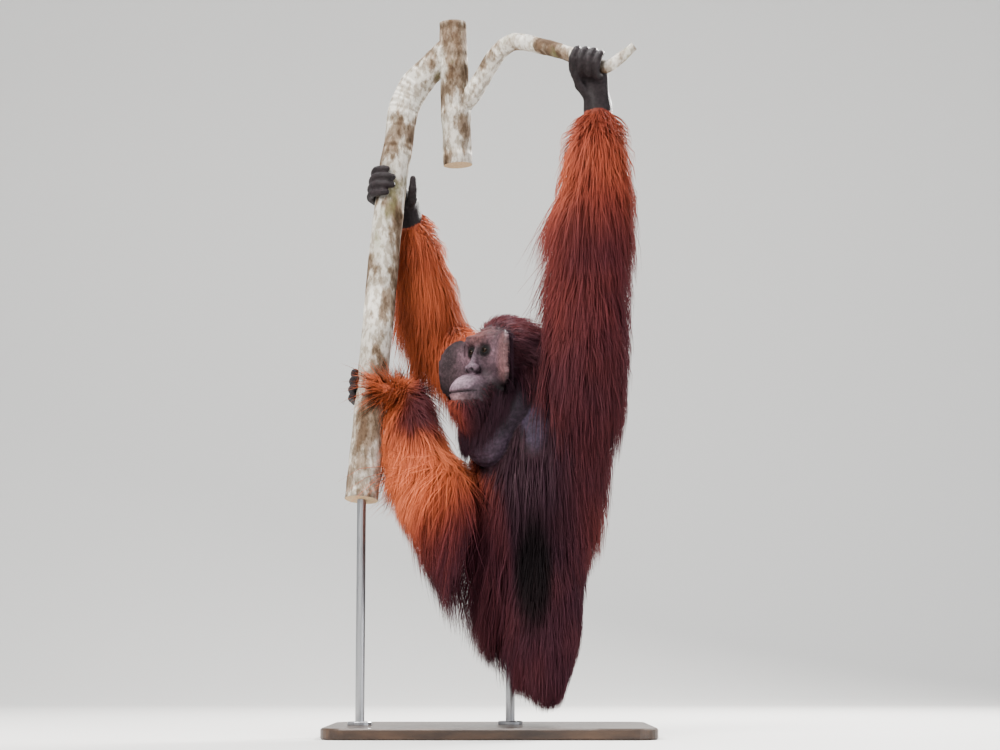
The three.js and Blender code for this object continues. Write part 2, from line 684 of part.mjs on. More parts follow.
// Locks of the beard, which hang from the chin in two rows.
function beardLocks() {
  const draw = chance(71);
  const locks = [];
  for (let row = 0; row < 2; row++) {
    for (let i = 0; i < 5 - row; i++) {
      const turn = (i - (4 - row) / 2) * 0.5;
      const outward = inHead(Math.cos(turn), Math.sin(turn), 0).sub(HEAD_CENTRE);
      const root = inHead(92 + (70 - 14 * row) * Math.cos(turn), 46 * Math.sin(turn), -136 - 16 * row);
      const length = 78 + 20 * draw();
      locks.push({ root, outward, lie: DOWN, lift: 0.25, length, width: 26, thick: 9, fall: 0.5 });
    }
  }
  return locks;
}

// Sawn lengths of wood, with flat ends square to their path.
function timber(path, radii, sides, rings) {
  const curve = new THREE.CatmullRomCurve3(path, false, "centripetal");
  const geometry = new THREE.CylinderGeometry(1, 1, 1, sides, rings);
  const place = geometry.getAttribute("position");
  for (let i = 0; i < place.count; i++) {
    const t = place.getY(i) + 0.5;
    const tangent = curve.getTangentAt(t);
    const across = V(1, 0.2, 0).addScaledVector(tangent, -V(1, 0.2, 0).dot(tangent)).normalize();
    const normal = tangent.clone().cross(across);
    const turn = Math.atan2(place.getZ(i), place.getX(i));
    const wobble = 1 + 0.04 * Math.sin(3 * turn + 9 * t) + 0.03 * Math.sin(17 * t);
    const radius = Math.hypot(place.getX(i), place.getZ(i)) * along(radii, t) * wobble;
    const p = curve.getPointAt(t).addScaledVector(across, Math.cos(turn) * radius)
      .addScaledVector(normal, -Math.sin(turn) * radius);
    place.setXYZ(i, p.x, p.y, p.z);
  }
  return upright(geometry);
}

function makePerch() {
  const trunk = timber(TRUNK_PATH, [45, 44, 43, 43, 42, 44, 46, 42, 40], 12, 14);
  const middle = [FORK_TOP, V(-106, 140, 1929), V(-99, 140, 1751), FORK_FOOT];
  const fork = beside(timber(middle, [38, 41, 42, 41], 12, 6), trunk);
  const branch = beside(timber(BRANCH_PATH, BRANCH_RADII, 9, 17), fork);
  return [trunk, largest(fork), largest(branch)];
}

function makeBase() {
  const [w, d, r] = [BASE_LENGTH / 2 - BASE_EDGE, BASE_DEPTH / 2 - BASE_EDGE, BASE_CORNER];
  const outline = new THREE.Shape();
  outline.moveTo(-w + r, -d);
  outline.lineTo(w - r, -d);
  outline.absarc(w - r, -d + r, r, -Math.PI / 2, 0);
  outline.lineTo(w, d - r);
  outline.absarc(w - r, d - r, r, 0, Math.PI / 2);
  outline.lineTo(-w + r, d);
  outline.absarc(-w + r, d - r, r, Math.PI / 2, Math.PI);
  outline.lineTo(-w, -d + r);
  outline.absarc(-w + r, -d + r, r, Math.PI, Math.PI * 1.5);
  const geometry = new THREE.ExtrudeGeometry(outline, {
    depth: BASE_HEIGHT - 2 * BASE_EDGE, bevelThickness: BASE_EDGE, bevelSize: BASE_EDGE, bevelSegments: 1,
    curveSegments: 4,
  });
  geometry.translate(0, 0, BASE_EDGE);
  return solid(geometry);
}

// A round rod with a collar at its foot, standing on the base.
function makeRod({ x, y }, top) {
  const profile = [[0, 0], [COLLAR_RADIUS, 0], [COLLAR_RADIUS, COLLAR_HEIGHT - 2],
    [COLLAR_RADIUS - 2, COLLAR_HEIGHT], [ROD_RADIUS, COLLAR_HEIGHT], [ROD_RADIUS, top - BASE_HEIGHT],
    [0, top - BASE_HEIGHT]];
  const geometry = new THREE.LatheGeometry(profile.map(([r, z]) => new THREE.Vector2(r, z)), 16);
  geometry.rotateX(Math.PI / 2);
  geometry.translate(x, y, BASE_HEIGHT + GAP);
  return upright(geometry);
}

const COLOURS = {
  coat: 0x8a3a1c, bright: 0xc0581f, skin: 0x4a3f42, face: 0x6a5654, dark: 0x241d20, eye: 0x2a1a10,
  bark: 0x9a9184, base: 0x3b2a1f, steel: 0x77797c,
};

const part = new THREE.Group();
part.name = "orangutan_on_stand";

function addNode(name, made, colour, roughness = 0.85, metalness = 0) {
  const finish = new THREE.MeshStandardMaterial({ color: colour, roughness, metalness });
  const mesh = new THREE.Mesh(geometryOf(made), finish);
  mesh.name = name;
  part.add(mesh);
}

const [trunk, fork, branch] = makePerch();
const handLeft = makeHandLeft(branch);
const handRight = makeHandRight(trunk);
const footRight = makeFootRight(trunk);
const footLeft = makeFootLeft();

// Whole forms, before each is cut clear of its neighbours.
const [armFormLeft, armFormRight, legFormRight] = [armLeft(), armRight(), legRight()];
const torsoCore = loft(torsoForm);
const neckForm = loft(nape);
const [upperFormLeft, forearmFormLeft] = limb(armFormLeft);
const [upperFormRight, forearmFormRight] = limb(armFormRight);
const [thighFormRight, shinFormRight] = limb(legFormRight);
const [thighFormLeft, shinFormLeft] = [loft(thighLeft), loft(shinLeft)];
const eyes = [makeEye(1), makeEye(-1)];
const [headForm, face] = makeHead();
const earForms = [makeEar(1), makeEar(-1)];
const sacForm = makeSac();

const body = [torsoCore, neckForm, upperFormLeft, upperFormRight];
const cores = {
  torso: torsoCore,
  neck: cutClear(neckForm, torsoCore),
  upper_arm_left: cutClear(upperFormLeft, torsoCore, neckForm),
  forearm_left: cutClear(forearmFormLeft, handLeft, branch),
  upper_arm_right: cutClear(upperFormRight, torsoCore, neckForm),
  forearm_right: cutClear(forearmFormRight, handRight, trunk),
  thigh_right: cutClear(thighFormRight, torsoCore, upperFormRight),
  shin_right: cutClear(shinFormRight, footRight, trunk, thighFormRight, upperFormRight),
  thigh_left: cutClear(thighFormLeft, torsoCore, thighFormRight),
  shin_left: cutClear(shinFormLeft, thighFormLeft, torsoCore, footLeft, thighFormRight),
  head: cutClear(face, ...eyes, ...body),
};
const ears = earForms.map((form) => cutClear(form, headForm, ...body));
const sac = cutClear(sacForm, headForm, ...body, thighFormRight, shinFormRight);
const flanges = earForms.map((form, i) => cutClear(makeFlange(1 - 2 * i), headForm, sacForm, form, ...body));
const bodyRod = cutClear(makeRod(BODY_ROD, 460), torsoCore, thighFormLeft, shinFormLeft, footLeft,
  thighFormRight);
const trunkRod = cutClear(makeRod(TRUNK_PATH[0], 700), trunk);

// The bare front of the chest carries no locks.
const CHEST_FRONT = BODY_LEFT.clone().cross(UP);
const offChest = (root, outward) => outward.dot(CHEST_FRONT) < 0.5 || root.z < 720;
const thighLie = HIP_RIGHT.clone().sub(KNEE_RIGHT).normalize().add(DOWN).normalize();
const locks = {
  torso: locksOn(torsoForm, {
    rows: [0.21, 0.34, 0.48, 0.62, 0.76, 0.9], count: 6, lengths: [190, 200, 210, 230, 260, 310],
    width: 108, thick: 16, lift: 0.2, seed: 51, keep: offChest,
  }),
  neck: locksOn(nape, {
    rows: [0.25, 0.6], count: 6, lengths: [100, 110], width: 58, thick: 13, lift: 0.3, seed: 61,
  }),
  upper_arm_left: locksOn(armFormLeft, {
    rows: [0.16, 0.27, 0.38, 0.5], count: 5, lengths: [210, 190], width: 88, lift: 0.3, seed: 11,
  }),
  forearm_left: locksOn(armFormLeft, {
    rows: [0.61, 0.73, 0.87], count: 5, lengths: [180, 150], width: 80, lift: 0.3, seed: 12,
  }),
  upper_arm_right: locksOn(armFormRight, {
    rows: [0.3, 0.44], count: 5, lengths: [150, 150], width: 76, lift: 0.3, seed: 21,
  }),
  forearm_right: locksOn(armFormRight, {
    rows: [0.6, 0.73, 0.86], count: 5, lengths: [150, 120], width: 68, lift: 0.25, seed: 22,
  }),
  thigh_right: locksOn(legFormRight, {
    rows: [0.17, 0.26, 0.35, 0.44], count: 6, lengths: [270, 220], width: 90, lie: thighLie, lift: 0.3,
    seed: 31,
  }),
  shin_right: locksOn(legFormRight, {
    rows: [0.6, 0.72, 0.85], count: 5, lengths: [150, 120], width: 74, lift: 0.35, seed: 32,
  }),
  thigh_left: locksOn(thighLeft, {
    rows: [0.5, 0.7], count: 6, lengths: [150, 150], width: 76, lift: 0.2, fall: 0.6, seed: 41,
  }),
  shin_left: locksOn(shinLeft, {
    rows: [0.35, 0.6], count: 5, lengths: [120, 120], width: 64, lift: 0.2, fall: 0.6, seed: 42,
  }),
  head: beardLocks(),
};

// The tuft of long hair that stands off the inner side of the raised elbow.
for (let i = 0; i < 4; i++) {
  const height = -70 + 55 * i;
  const root = ELBOW_LEFT.clone().add(V(-72, -14 + 9 * (i % 2), height));
  locks[height < 0 ? "upper_arm_left" : "forearm_left"].push({
    root, outward: V(-1, -0.1, 0).normalize(), lie: DOWN, lift: 0.5, length: 170, width: 62, thick: 14, fall: 0.4,
  });
}

// Each node gets its locks in turn. They keep clear of all that is made so far and of the cores still to come.
const rest = [...eyes, ...ears, sac, ...flanges, handLeft, handRight, footRight, footLeft, trunk, fork, branch,
  bodyRod, trunkRod];
const coated = { ...cores };
for (const name of Object.keys(locks)) {
  const others = Object.keys(coated).filter((key) => key !== name).map((key) => coated[key]);
  coated[name] = withLocks(cores[name], locks[name], [...others, ...rest]);
}

addNode("head", coated.head, COLOURS.face);
addNode("eye_left", eyes[0], COLOURS.eye, 0.15);
addNode("eye_right", eyes[1], COLOURS.eye, 0.15);
addNode("ear_left", ears[0], COLOURS.skin);
addNode("ear_right", ears[1], COLOURS.skin);
addNode("cheek_flange_left", flanges[0], COLOURS.skin);
addNode("cheek_flange_right", flanges[1], COLOURS.skin);
addNode("throat_sac", sac, COLOURS.skin);
addNode("neck", coated.neck, COLOURS.coat);
addNode("torso", coated.torso, COLOURS.coat);
addNode("upper_arm_left", coated.upper_arm_left, COLOURS.coat);
addNode("forearm_left", coated.forearm_left, COLOURS.bright);
addNode("hand_left", handLeft, COLOURS.dark);
addNode("upper_arm_right", coated.upper_arm_right, COLOURS.coat);
addNode("forearm_right", coated.forearm_right, COLOURS.bright);
addNode("hand_right", handRight, COLOURS.dark);
addNode("thigh_right", coated.thigh_right, COLOURS.bright);
addNode("shin_right", coated.shin_right, COLOURS.bright);
addNode("foot_right", footRight, COLOURS.dark);
addNode("thigh_left", coated.thigh_left, COLOURS.coat);
addNode("shin_left", coated.shin_left, COLOURS.coat);
addNode("foot_left", footLeft, COLOURS.dark);
addNode("perch_trunk", trunk, COLOURS.bark);
addNode("perch_fork", fork, COLOURS.bark);
addNode("perch_branch", branch, COLOURS.bark);
addNode("stand_base", makeBase(), COLOURS.base, 0.5);
addNode("stand_rod_body", bodyRod, COLOURS.steel, 0.35, 1);
addNode("stand_rod_perch", trunkRod, COLOURS.steel, 0.35, 1);

export default part;
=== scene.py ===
"""A life-size adult male orangutan with cheek flanges, hanging from a forked bough on a plain display stand.

The skin is one mesh wrapped round smooth forms that follow the skeleton. The coat is made of closed, tapered
tufts that follow the lie of the hair and then hang. Lengths are in metres.
"""

from __future__ import annotations

import json
import logging
import math
from dataclasses import dataclass, field
from enum import Enum

import bmesh
import bpy
import numpy as np
from mathutils import Matrix, Vector
from mathutils.kdtree import KDTree

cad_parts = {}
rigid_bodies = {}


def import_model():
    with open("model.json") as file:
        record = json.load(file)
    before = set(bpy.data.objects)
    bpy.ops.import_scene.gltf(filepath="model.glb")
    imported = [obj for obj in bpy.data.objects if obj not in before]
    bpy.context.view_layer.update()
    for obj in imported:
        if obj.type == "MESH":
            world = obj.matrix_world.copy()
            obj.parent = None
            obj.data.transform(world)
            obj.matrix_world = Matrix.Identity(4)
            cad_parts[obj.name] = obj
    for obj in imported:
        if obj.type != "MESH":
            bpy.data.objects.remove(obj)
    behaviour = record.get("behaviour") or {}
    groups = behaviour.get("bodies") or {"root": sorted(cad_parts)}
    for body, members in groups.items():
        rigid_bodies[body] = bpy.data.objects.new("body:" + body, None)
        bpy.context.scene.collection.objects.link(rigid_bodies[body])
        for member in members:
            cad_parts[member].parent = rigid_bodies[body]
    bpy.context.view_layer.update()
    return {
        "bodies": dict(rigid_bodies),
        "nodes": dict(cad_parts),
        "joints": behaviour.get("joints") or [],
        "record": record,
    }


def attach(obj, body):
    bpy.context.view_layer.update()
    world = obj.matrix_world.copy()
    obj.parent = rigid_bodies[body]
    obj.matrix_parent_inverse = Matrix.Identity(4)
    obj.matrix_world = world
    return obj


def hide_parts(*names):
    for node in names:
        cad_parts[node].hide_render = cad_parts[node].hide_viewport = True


LOG = logging.getLogger("orangutan")
BODY = "root"
SEED = 41
Array = np.ndarray
Triple = tuple[float, float, float]


def vec(*values: float) -> Array:
    """Returns a point, given in millimetres, in metres."""
    return np.array(values, float) / 1000.0


def unit(v: Array) -> Array:
    """Returns v, or each row of v, at length one."""
    return v / np.maximum(np.linalg.norm(v, axis=-1, keepdims=True), 1e-12)


# A distance beyond every other, and the distance from which a form is only measured roughly.
FAR = 9.0
CLOSE = 0.08

UP = np.array([0.0, 0.0, 1.0])
DOWN = -UP
BODY_LEFT = unit(np.array([1.0, -1.0, 0.0]))
BODY_FRONT = unit(np.array([-1.0, -1.0, 0.0]))

# Joints and middles of the body.
NECK = vec(165, 8, 975)
CHEST = vec(150, 0, 831)
BELLY = vec(112, -10, 641)
PELVIS = vec(105, -5, 499)
RUMP = vec(112, 10, 392)
SHOULDER_L, ELBOW_L, WRIST_L = vec(252, -95, 990), vec(288, -75, 1362), vec(303, -38, 1728)
SHOULDER_R, ELBOW_R, WRIST_R = vec(72, 100, 955), vec(-156, 285, 1125), vec(-236, 228, 1482)
HIP_L, KNEE_L, ANKLE_L = vec(150, -60, 485), vec(150, -130, 215), vec(152, 95, 322)
HIP_R, KNEE_R, ANKLE_R = vec(89, 30, 520), vec(-160, -42, 672), vec(-236, 62, 918)

# The head's frame, and the eye's place in it: forward, out to each side and up.
HEAD = vec(36, -70, 1017)
HEAD_TURN = math.radians(52)
HEAD_FORWARD = np.array([-math.sin(HEAD_TURN), -math.cos(HEAD_TURN), 0.0])
HEAD_LEFT = np.cross(UP, HEAD_FORWARD)
EYE_RADIUS = 0.012
EYE_PLACE = (0.080, 0.030, 0.0215)

# Middle lines of the three lengths of bough, and their radii in millimetres at even steps along them.
TRUNK_PATH = [vec(*p) for p in (
    (-353, -10, 642), (-332, 40, 925), (-306, 108, 1306), (-283, 152, 1562), (-265, 172, 1700),
    (-252, 180, 1790), (-222, 176, 1856), (-176, 164, 1908), (-118, 148, 1960))]
TRUNK_RADII = (45, 44, 43, 43, 42, 44, 46, 42, 40)
FORK_PATH = [vec(*p) for p in ((-109, 140, 2040), (-106, 140, 1929), (-99, 140, 1751), (-93, 140, 1618))]
FORK_RADII = (38, 41, 42, 41)
BRANCH_PATH = [vec(*p) for p in (
    (-99, 140, 1787), (-62, 125, 1812), (-21, 95, 1866), (22, 62, 1930), (71, 30, 1951), (141, -10, 1928),
    (230, -55, 1889), (279, -80, 1862), (331, -95, 1847), (401, -110, 1899))]
BRANCH_RADII = (28, 27, 26, 25, 24, 22, 21, 20, 17, 12)


class Part(Enum):
    """The parts of the body that skin and hair tell apart."""

    HEAD = 0
    FLANGE = 1
    SAC = 2
    NECK = 3
    TORSO = 4
    UPPER_ARM_L = 5
    FOREARM_L = 6
    HAND_L = 7
    UPPER_ARM_R = 8
    FOREARM_R = 9
    HAND_R = 10
    THIGH_R = 11
    SHIN_R = 12
    FOOT_R = 13
    THIGH_L = 14
    SHIN_L = 15
    FOOT_L = 16


def soft_min(a: Array, b: Array, k: float) -> Array:
    """Returns the nearer of two distances, blended over k."""
    h = np.maximum(k - np.abs(a - b), 0.0) / k
    return np.minimum(a, b) - h * h * k / 4


def between(a: Array, b: Array, t: float) -> Array:
    """Returns the point at share t of the way from a to b."""
    return a + (b - a) * t


def carve(a: Array, b: Array, k: float) -> Array:
    """Returns distance a with the form at distance b scooped out of it, blended over k."""
    return -soft_min(-a, b, k)


def smooth(x: Array, low: float, high: float) -> Array:
    """Returns 0 below low and 1 above high, and a smooth step between."""
    t = np.clip((x - low) / (high - low), 0, 1)
    return t * t * (3 - 2 * t)


def in_head(f: float, l: float, u: float) -> Array:
    """Returns the point that is f forward, l to the left and u up in the head's frame, in metres."""
    return HEAD + HEAD_FORWARD * f + HEAD_LEFT * l + UP * u


def to_head(points: Array) -> Array:
    """Returns points in the head's frame: forward, left and up, in metres."""
    q = points - HEAD
    return np.stack([q @ HEAD_FORWARD, q @ HEAD_LEFT, q[:, 2]], axis=1)


def lump(q: Array, centre: Triple, radii: Triple) -> Array:
    """Returns the distance to an ellipsoid whose axes lie along those of q, near enough for blending."""
    d = q - np.array(centre)
    r = np.array(radii)
    scaled = np.linalg.norm(d / r, axis=1)
    slope = np.linalg.norm(d / r**2, axis=1)
    return np.where(slope < 1e-9, -min(radii), scaled * (scaled - 1) / np.maximum(slope, 1e-9))


def rod(p: Array, a: Array, b: Array, ra: float, rb: float) -> Array:
    """Returns the distance to a round bar from a to b that tapers from ra to rb."""
    ab = b - a
    t = np.clip((p - a) @ ab / (ab @ ab), 0, 1)
    return np.linalg.norm(p - a - t[:, None] * ab, axis=1) - (ra + (rb - ra) * t)


def round_bar(centre: Array, axis: Array, radius: float, start: float, end: float, steps: int) -> list[Array]:
    """Returns points on an arc round a bar.

    Args:
        centre: Point of the bar's axis.
        axis: Direction of the bar.
        radius: Radius of the arc.
        start: First angle in degrees, with 0 towards the viewer.
        end: Last angle.
        steps: Number of steps between them.

    Returns:
        The points, in metres.
    """
    n = unit(axis)
    viewer = np.array([0.0, -1.0, 0.0])
    e = unit(viewer - n * (n @ viewer))
    q = np.cross(n, e)
    turns = np.radians(np.linspace(start, end, steps + 1))
    return [centre + e * math.cos(t) * radius + q * math.sin(t) * radius for t in turns]


def flange_size(near: Array) -> tuple[Array, Array, Array, Array]:
    """Returns how far out a flange's middle is, its half width and half height, and the height of its middle.

    Args:
        near: Whether each point is on the animal's left, which is the nearer flange and the smaller one.

    Returns:
        The four sizes at each point.
    """
    sizes = ((0.092, 0.105), (0.059, 0.073), (0.077, 0.085), (-0.004, -0.018))
    return tuple(np.where(near, left, right) for left, right in sizes)


@dataclass
class Chain:
    """A round bar that bends through points, such as a finger or a limb."""

    points: list[Array]
    radii: list[float]
    blend: float = 0.008

    def distance(self, p: Array) -> Array:
        """Returns the distance of each point of p to the chain."""
        d = np.full(len(p), FAR)
        for a, b, ra, rb in self.bars():
            d = soft_min(d, rod(p, a, b, ra, rb), self.blend)
        return d

    def bars(self) -> list[tuple[Array, Array, float, float]]:
        """Returns each bar as its ends and radii."""
        return list(zip(self.points[:-1], self.points[1:], self.radii[:-1], self.radii[1:]))


@dataclass
class Barrel:
    """An ellipsoid set square to the body's left, front and up."""

    centre: Array
    radii: Triple

    def distance(self, p: Array) -> Array:
        """Returns the distance of each point of p to the barrel."""
        d = p - self.centre
        q = np.stack([d @ BODY_LEFT, d @ BODY_FRONT, d[:, 2]], axis=1)
        return lump(q, (0, 0, 0), self.radii)


@dataclass
class Form:
    """One part of the body: its blended solids and how far round them it matters."""

    part: Part
    solids: list[Chain | Barrel]
    blend: float = 0.03
    centre: Array = field(default_factory=lambda: np.zeros(3))
    reach: float = FAR

    def __post_init__(self) -> None:
        """Works out a ball that holds the form."""
        points, radii = [], []
        for s in self.solids:
            if isinstance(s, Chain):
                points += s.points
                radii += s.radii
            else:
                points.append(s.centre)
                radii.append(max(s.radii))
        points = np.array(points)
        self.centre = (points.min(0) + points.max(0)) / 2
        self.reach = float((np.linalg.norm(points - self.centre, axis=1) + np.array(radii)).max())

    def distance(self, p: Array) -> Array:
        """Returns the distance of each point of p to the form, and only a lower bound for it far away."""
        d = np.linalg.norm(p - self.centre, axis=1) - self.reach
        near = d < CLOSE
        if near.any():
            q = p[near]
            best = np.full(len(q), FAR)
            for s in self.solids:
                best = soft_min(best, s.distance(q), self.blend)
            d[near] = best
        return np.where(near, d, np.maximum(d, CLOSE))


@dataclass
class Face:
    """The head with its features, the cheek flanges and the throat sac, in the head's own frame.

    Every method takes points as rows of forward, left and up. In m, the left is a distance from the middle, so
    that both sides are alike.
    """

    lid: float = 0.0026

    def head(self, q: Array) -> Array:
        """Returns the distance to the skull, muzzle, brow, lids, nose and lips."""
        m = np.stack([q[:, 0], np.abs(q[:, 1]), q[:, 2]], axis=1)
        d = lump(q, (-0.015, 0, 0.024), (0.097, 0.080, 0.094))
        d = soft_min(d, lump(q, (0.038, 0, 0.014), (0.050, 0.070, 0.066)), 0.030)
        d = soft_min(d, lump(q, (0.010, 0, -0.075), (0.082, 0.074, 0.064)), 0.040)
        d = soft_min(d, lump(q, (0.084, 0, -0.092), (0.076, 0.054, 0.044)), 0.026)
        d = soft_min(d, lump(q, (0.138, 0, -0.093), (0.034, 0.043, 0.027)), 0.014)
        d = soft_min(d, lump(q, (0.108, 0, -0.077), (0.052, 0.046, 0.034)), 0.012)
        d = soft_min(d, lump(q, (0.088, 0, -0.124), (0.080, 0.051, 0.040)), 0.010)
        d = soft_min(d, rod(q, vec(78, -42, 55), vec(78, 42, 55), 0.016, 0.016), 0.016)
        d = soft_min(d, rod(q, vec(88, 0, 22), vec(108, 0, -18), 0.008, 0.008), 0.016)
        d = soft_min(d, lump(q, (0.105, 0, -0.026), (0.017, 0.022, 0.012)), 0.008)
        d = soft_min(d, lump(m, (0.108, 0.016, -0.028), (0.012, 0.009, 0.010)), 0.004)
        d = carve(d, lump(m, (0.103, 0.031, 0.023), (0.025, 0.021, 0.015)), 0.012)
        d = soft_min(d, self.lids(m), 0.004)
        d = carve(d, self.opening(m), 0.0015)
        d = carve(d, lump(m, (0.1190, 0.0105, -0.0306), (0.0088, 0.0052, 0.0044)), 0.0015)
        d = d - self.wrinkles(q, m)
        return carve(d, self.mouth(m), 0.004)

    def wrinkles(self, q: Array, m: Array) -> Array:
        """Returns the height of the folds of the brow, round the eyes and on the upper lip."""
        brow = smooth(q[:, 2], 0.050, 0.062) * smooth(0.105 - q[:, 2], 0.0, 0.02)
        height = 0.0011 * brow * np.sin(q[:, 2] / 0.0019 + 3.0 * noise(q, 0.03, 11))
        ring = np.hypot((m[:, 1] - EYE_PLACE[1]) / 1.15, m[:, 2] - EYE_PLACE[2])
        under = smooth(ring, 0.013, 0.017) * smooth(0.036 - ring, 0.0, 0.012)
        under = under * smooth(0.03 - m[:, 2], 0.0, 0.015)
        height = height + 0.0010 * under * np.sin(ring / 0.00075 + 2.0 * noise(q, 0.02, 13))
        lip = smooth(-q[:, 2], 0.045, 0.06) * smooth(0.125 + q[:, 2], 0.0, 0.02) * smooth(q[:, 0], 0.09, 0.12)
        height = height + 0.0005 * lip * np.sin(m[:, 1] / 0.0011 + 2.5 * noise(q, 0.015, 17))
        return height + 0.0010 * noise(q, 0.012, 19)

    def lids(self, m: Array) -> Array:
        """Returns the distance to the lids, a ball a little larger than the eye."""
        return np.linalg.norm(m - np.array(EYE_PLACE), axis=1) - (EYE_RADIUS + self.lid)

    def opening(self, m: Array) -> Array:
        """Returns the distance to the almond between the lids."""
        s = (m[:, 1] - EYE_PLACE[1]) / 0.0125
        arch = np.maximum(1 - s * s, 0)
        top = EYE_PLACE[2] + 0.0050 * arch - 0.0006 * s
        foot = EYE_PLACE[2] - 0.0044 * arch - 0.0006 * s
        band = np.maximum(m[:, 2] - top, foot - m[:, 2])
        return np.maximum.reduce([band, (np.abs(s) - 1) * 0.0125, EYE_PLACE[0] + 0.004 - m[:, 0]])

    def mouth(self, m: Array) -> Array:
        """Returns the distance to the line of the closed mouth."""
        turn = np.arctan2(m[:, 1] / 0.057, (m[:, 0] - 0.092) / 0.080)
        line = -0.097 + 0.006 * np.sin(np.clip(turn, -0.9, 0.9)) ** 2
        radius = np.hypot((m[:, 0] - 0.092) / 0.080, m[:, 1] / 0.055)
        groove = np.hypot((radius - 1) * 0.068, (m[:, 2] - line) * 1.7) - 0.0044
        return np.where(np.abs(turn) < 0.92, groove, 0.02)

    def flange(self, q: Array) -> Array:
        """Returns the distance to the two cheek flanges."""
        l, near = np.abs(q[:, 1]), q[:, 1] > 0
        side, reach, half, low = flange_size(near)
        h = np.clip((q[:, 2] - low) / half, -1.2, 1.2)
        side = np.where(near, side, side - 0.009 * h)
        out = np.clip((l - side + reach) / (2 * reach - 0.004), 0, 1)
        middle = 0.058 + 0.010 * out + 0.032 * out**1.6 - 0.012 * h * h * out
        thick = 0.019 - 0.006 * out
        hollow = 0.004 * np.exp(-(((l - 0.105) / 0.030) ** 2 + ((q[:, 2] + 0.01) / 0.05) ** 2))
        x, y, z = q[:, 0] - middle, l - side, q[:, 2] - low
        x = np.where(x > 0, x + hollow, x)
        g = np.sqrt((x / thick) ** 2 + (y / reach) ** 2 + (z / half) ** 2)
        slope = np.sqrt((x / thick**2) ** 2 + (y / reach**2) ** 2 + (z / half**2) ** 2)
        return np.where(slope < 1e-9, -0.01, g * (g - 1) / np.maximum(slope, 1e-9))

    def sac(self, q: Array) -> Array:
        """Returns the distance to the throat sac, with its hanging folds."""
        upper = lump(q, (0.0, 0, -0.112), (0.090, 0.106, 0.095))
        d = soft_min(upper, lump(q, (0.044, -0.012, -0.200), (0.060, 0.074, 0.092)), 0.045)
        ring = np.hypot(q[:, 1] - 0.01, (q[:, 2] + 0.06) * 0.62)
        folds = np.sin(ring / 0.0021 + 2.6 * noise(q, 0.04, 23)) + 1.3 * noise(q, 0.010, 29)
        return d - 0.0011 * folds * smooth(-q[:, 2], 0.02, 0.08)

    def ears(self, q: Array) -> Array:
        """Returns the distance to the small ears behind the flanges."""
        m = np.stack([q[:, 0], np.abs(q[:, 1]), q[:, 2]], axis=1)
        d = lump(m, (-0.012, 0.080, 0.008), (0.015, 0.015, 0.021))
        return carve(d, lump(m, (-0.004, 0.095, 0.009), (0.010, 0.011, 0.014)), 0.003)


def digits(centre: Array, axis: Array, bar: float, start: float, ends: list[float], root: Array,
           radius: float = 0.0115, pitch: float = 0.024) -> list[Chain]:
    """Returns fingers or toes that curl round a bar, each with the bone of the palm that carries it.

    Args:
        centre: Middle of the grip, on the bar's axis.
        axis: Direction of the bar.
        bar: Radius of the bar.
        start: Angle at which the digits leave the palm.
        ends: Angle of each tip.
        root: Point of the wrist or heel.
        radius: Radius of a digit.
        pitch: Distance between digits.

    Returns:
        One chain for each digit and one for each bone.
    """
    chains = []
    for i, end in enumerate(ends):
        place = centre + unit(axis) * (i - (len(ends) - 1) / 2) * pitch
        thin = radius * (0.92 if i in (0, len(ends) - 1) else 1.0)
        arc = round_bar(place, axis, bar + thin + 0.0008, start, end, 12)
        swell = [1.12, 1.0, 0.98, 1.02, 1.12, 1.0, 0.96, 1.0, 1.08, 0.98, 0.94, 0.92, 0.80]
        chains.append(Chain(arc, [thin * s for s in swell], 0.003))
        chains.append(Chain([root + (place - centre) * 0.45, arc[0]], [radius * 1.5, radius * 1.25], 0.006))
    return chains


def hand_left() -> list[Chain]:
    """Returns the raised hand, hooked over the branch."""
    grip, axis = vec(276, -79, 1862), unit(np.array([0.9, -0.34, -0.28]))
    wrist = vec(302, -36, 1752)
    fingers = digits(grip, axis, 0.021, 160, [-58, -66, -72, -60], wrist)
    palm = Chain([WRIST_L + vec(0, 0, -12), wrist, vec(288, -36, 1815)], [0.036, 0.034, 0.030], 0.02)
    thumb = Chain([vec(282, -40, 1770), vec(252, -56, 1800), vec(238, -76, 1828), vec(233, -90, 1848)],
                  [0.018, 0.0135, 0.0118, 0.009], 0.006)
    return [palm, thumb, *fingers]


def hand_right() -> list[Chain]:
    """Returns the hand that holds the trunk from behind."""
    grip, axis = vec(-285, 148, 1553), unit(np.array([0.14, 0.17, 0.97]))
    wrist = vec(-244, 224, 1518)
    fingers = digits(grip, axis, 0.0435, -150, [-8, 6, 4, -18], vec(-262, 222, 1546))
    palm = Chain([WRIST_R + vec(2, -4, -16), wrist, vec(-276, 220, 1552)], [0.034, 0.033, 0.026], 0.02)
    thumb = Chain([vec(-238, 202, 1508), vec(-226, 162, 1522), vec(-223, 140, 1548), vec(-222, 130, 1576)],
                  [0.018, 0.0135, 0.0115, 0.009], 0.006)
    return [palm, thumb, *fingers]


def foot_right() -> list[Chain]:
    """Returns the foot that grips the trunk."""
    grip, axis = vec(-328, 52, 962), unit(np.array([0.08, 0.18, 0.97]))
    toes = digits(grip, axis, 0.0435, -150, [-66, -60, -58, -70], vec(-268, 122, 944))
    sole = Chain([vec(-222, 46, 903), ANKLE_R + vec(-4, 26, 6), vec(-262, 124, 942), vec(-300, 132, 956)],
                 [0.030, 0.036, 0.031, 0.024], 0.02)
    hallux = Chain([vec(-242, 62, 930), vec(-262, 16, 940), vec(-286, -8, 948), vec(-306, -14, 952)],
                   [0.018, 0.015, 0.013, 0.010], 0.006)
    return [sole, hallux, *toes]


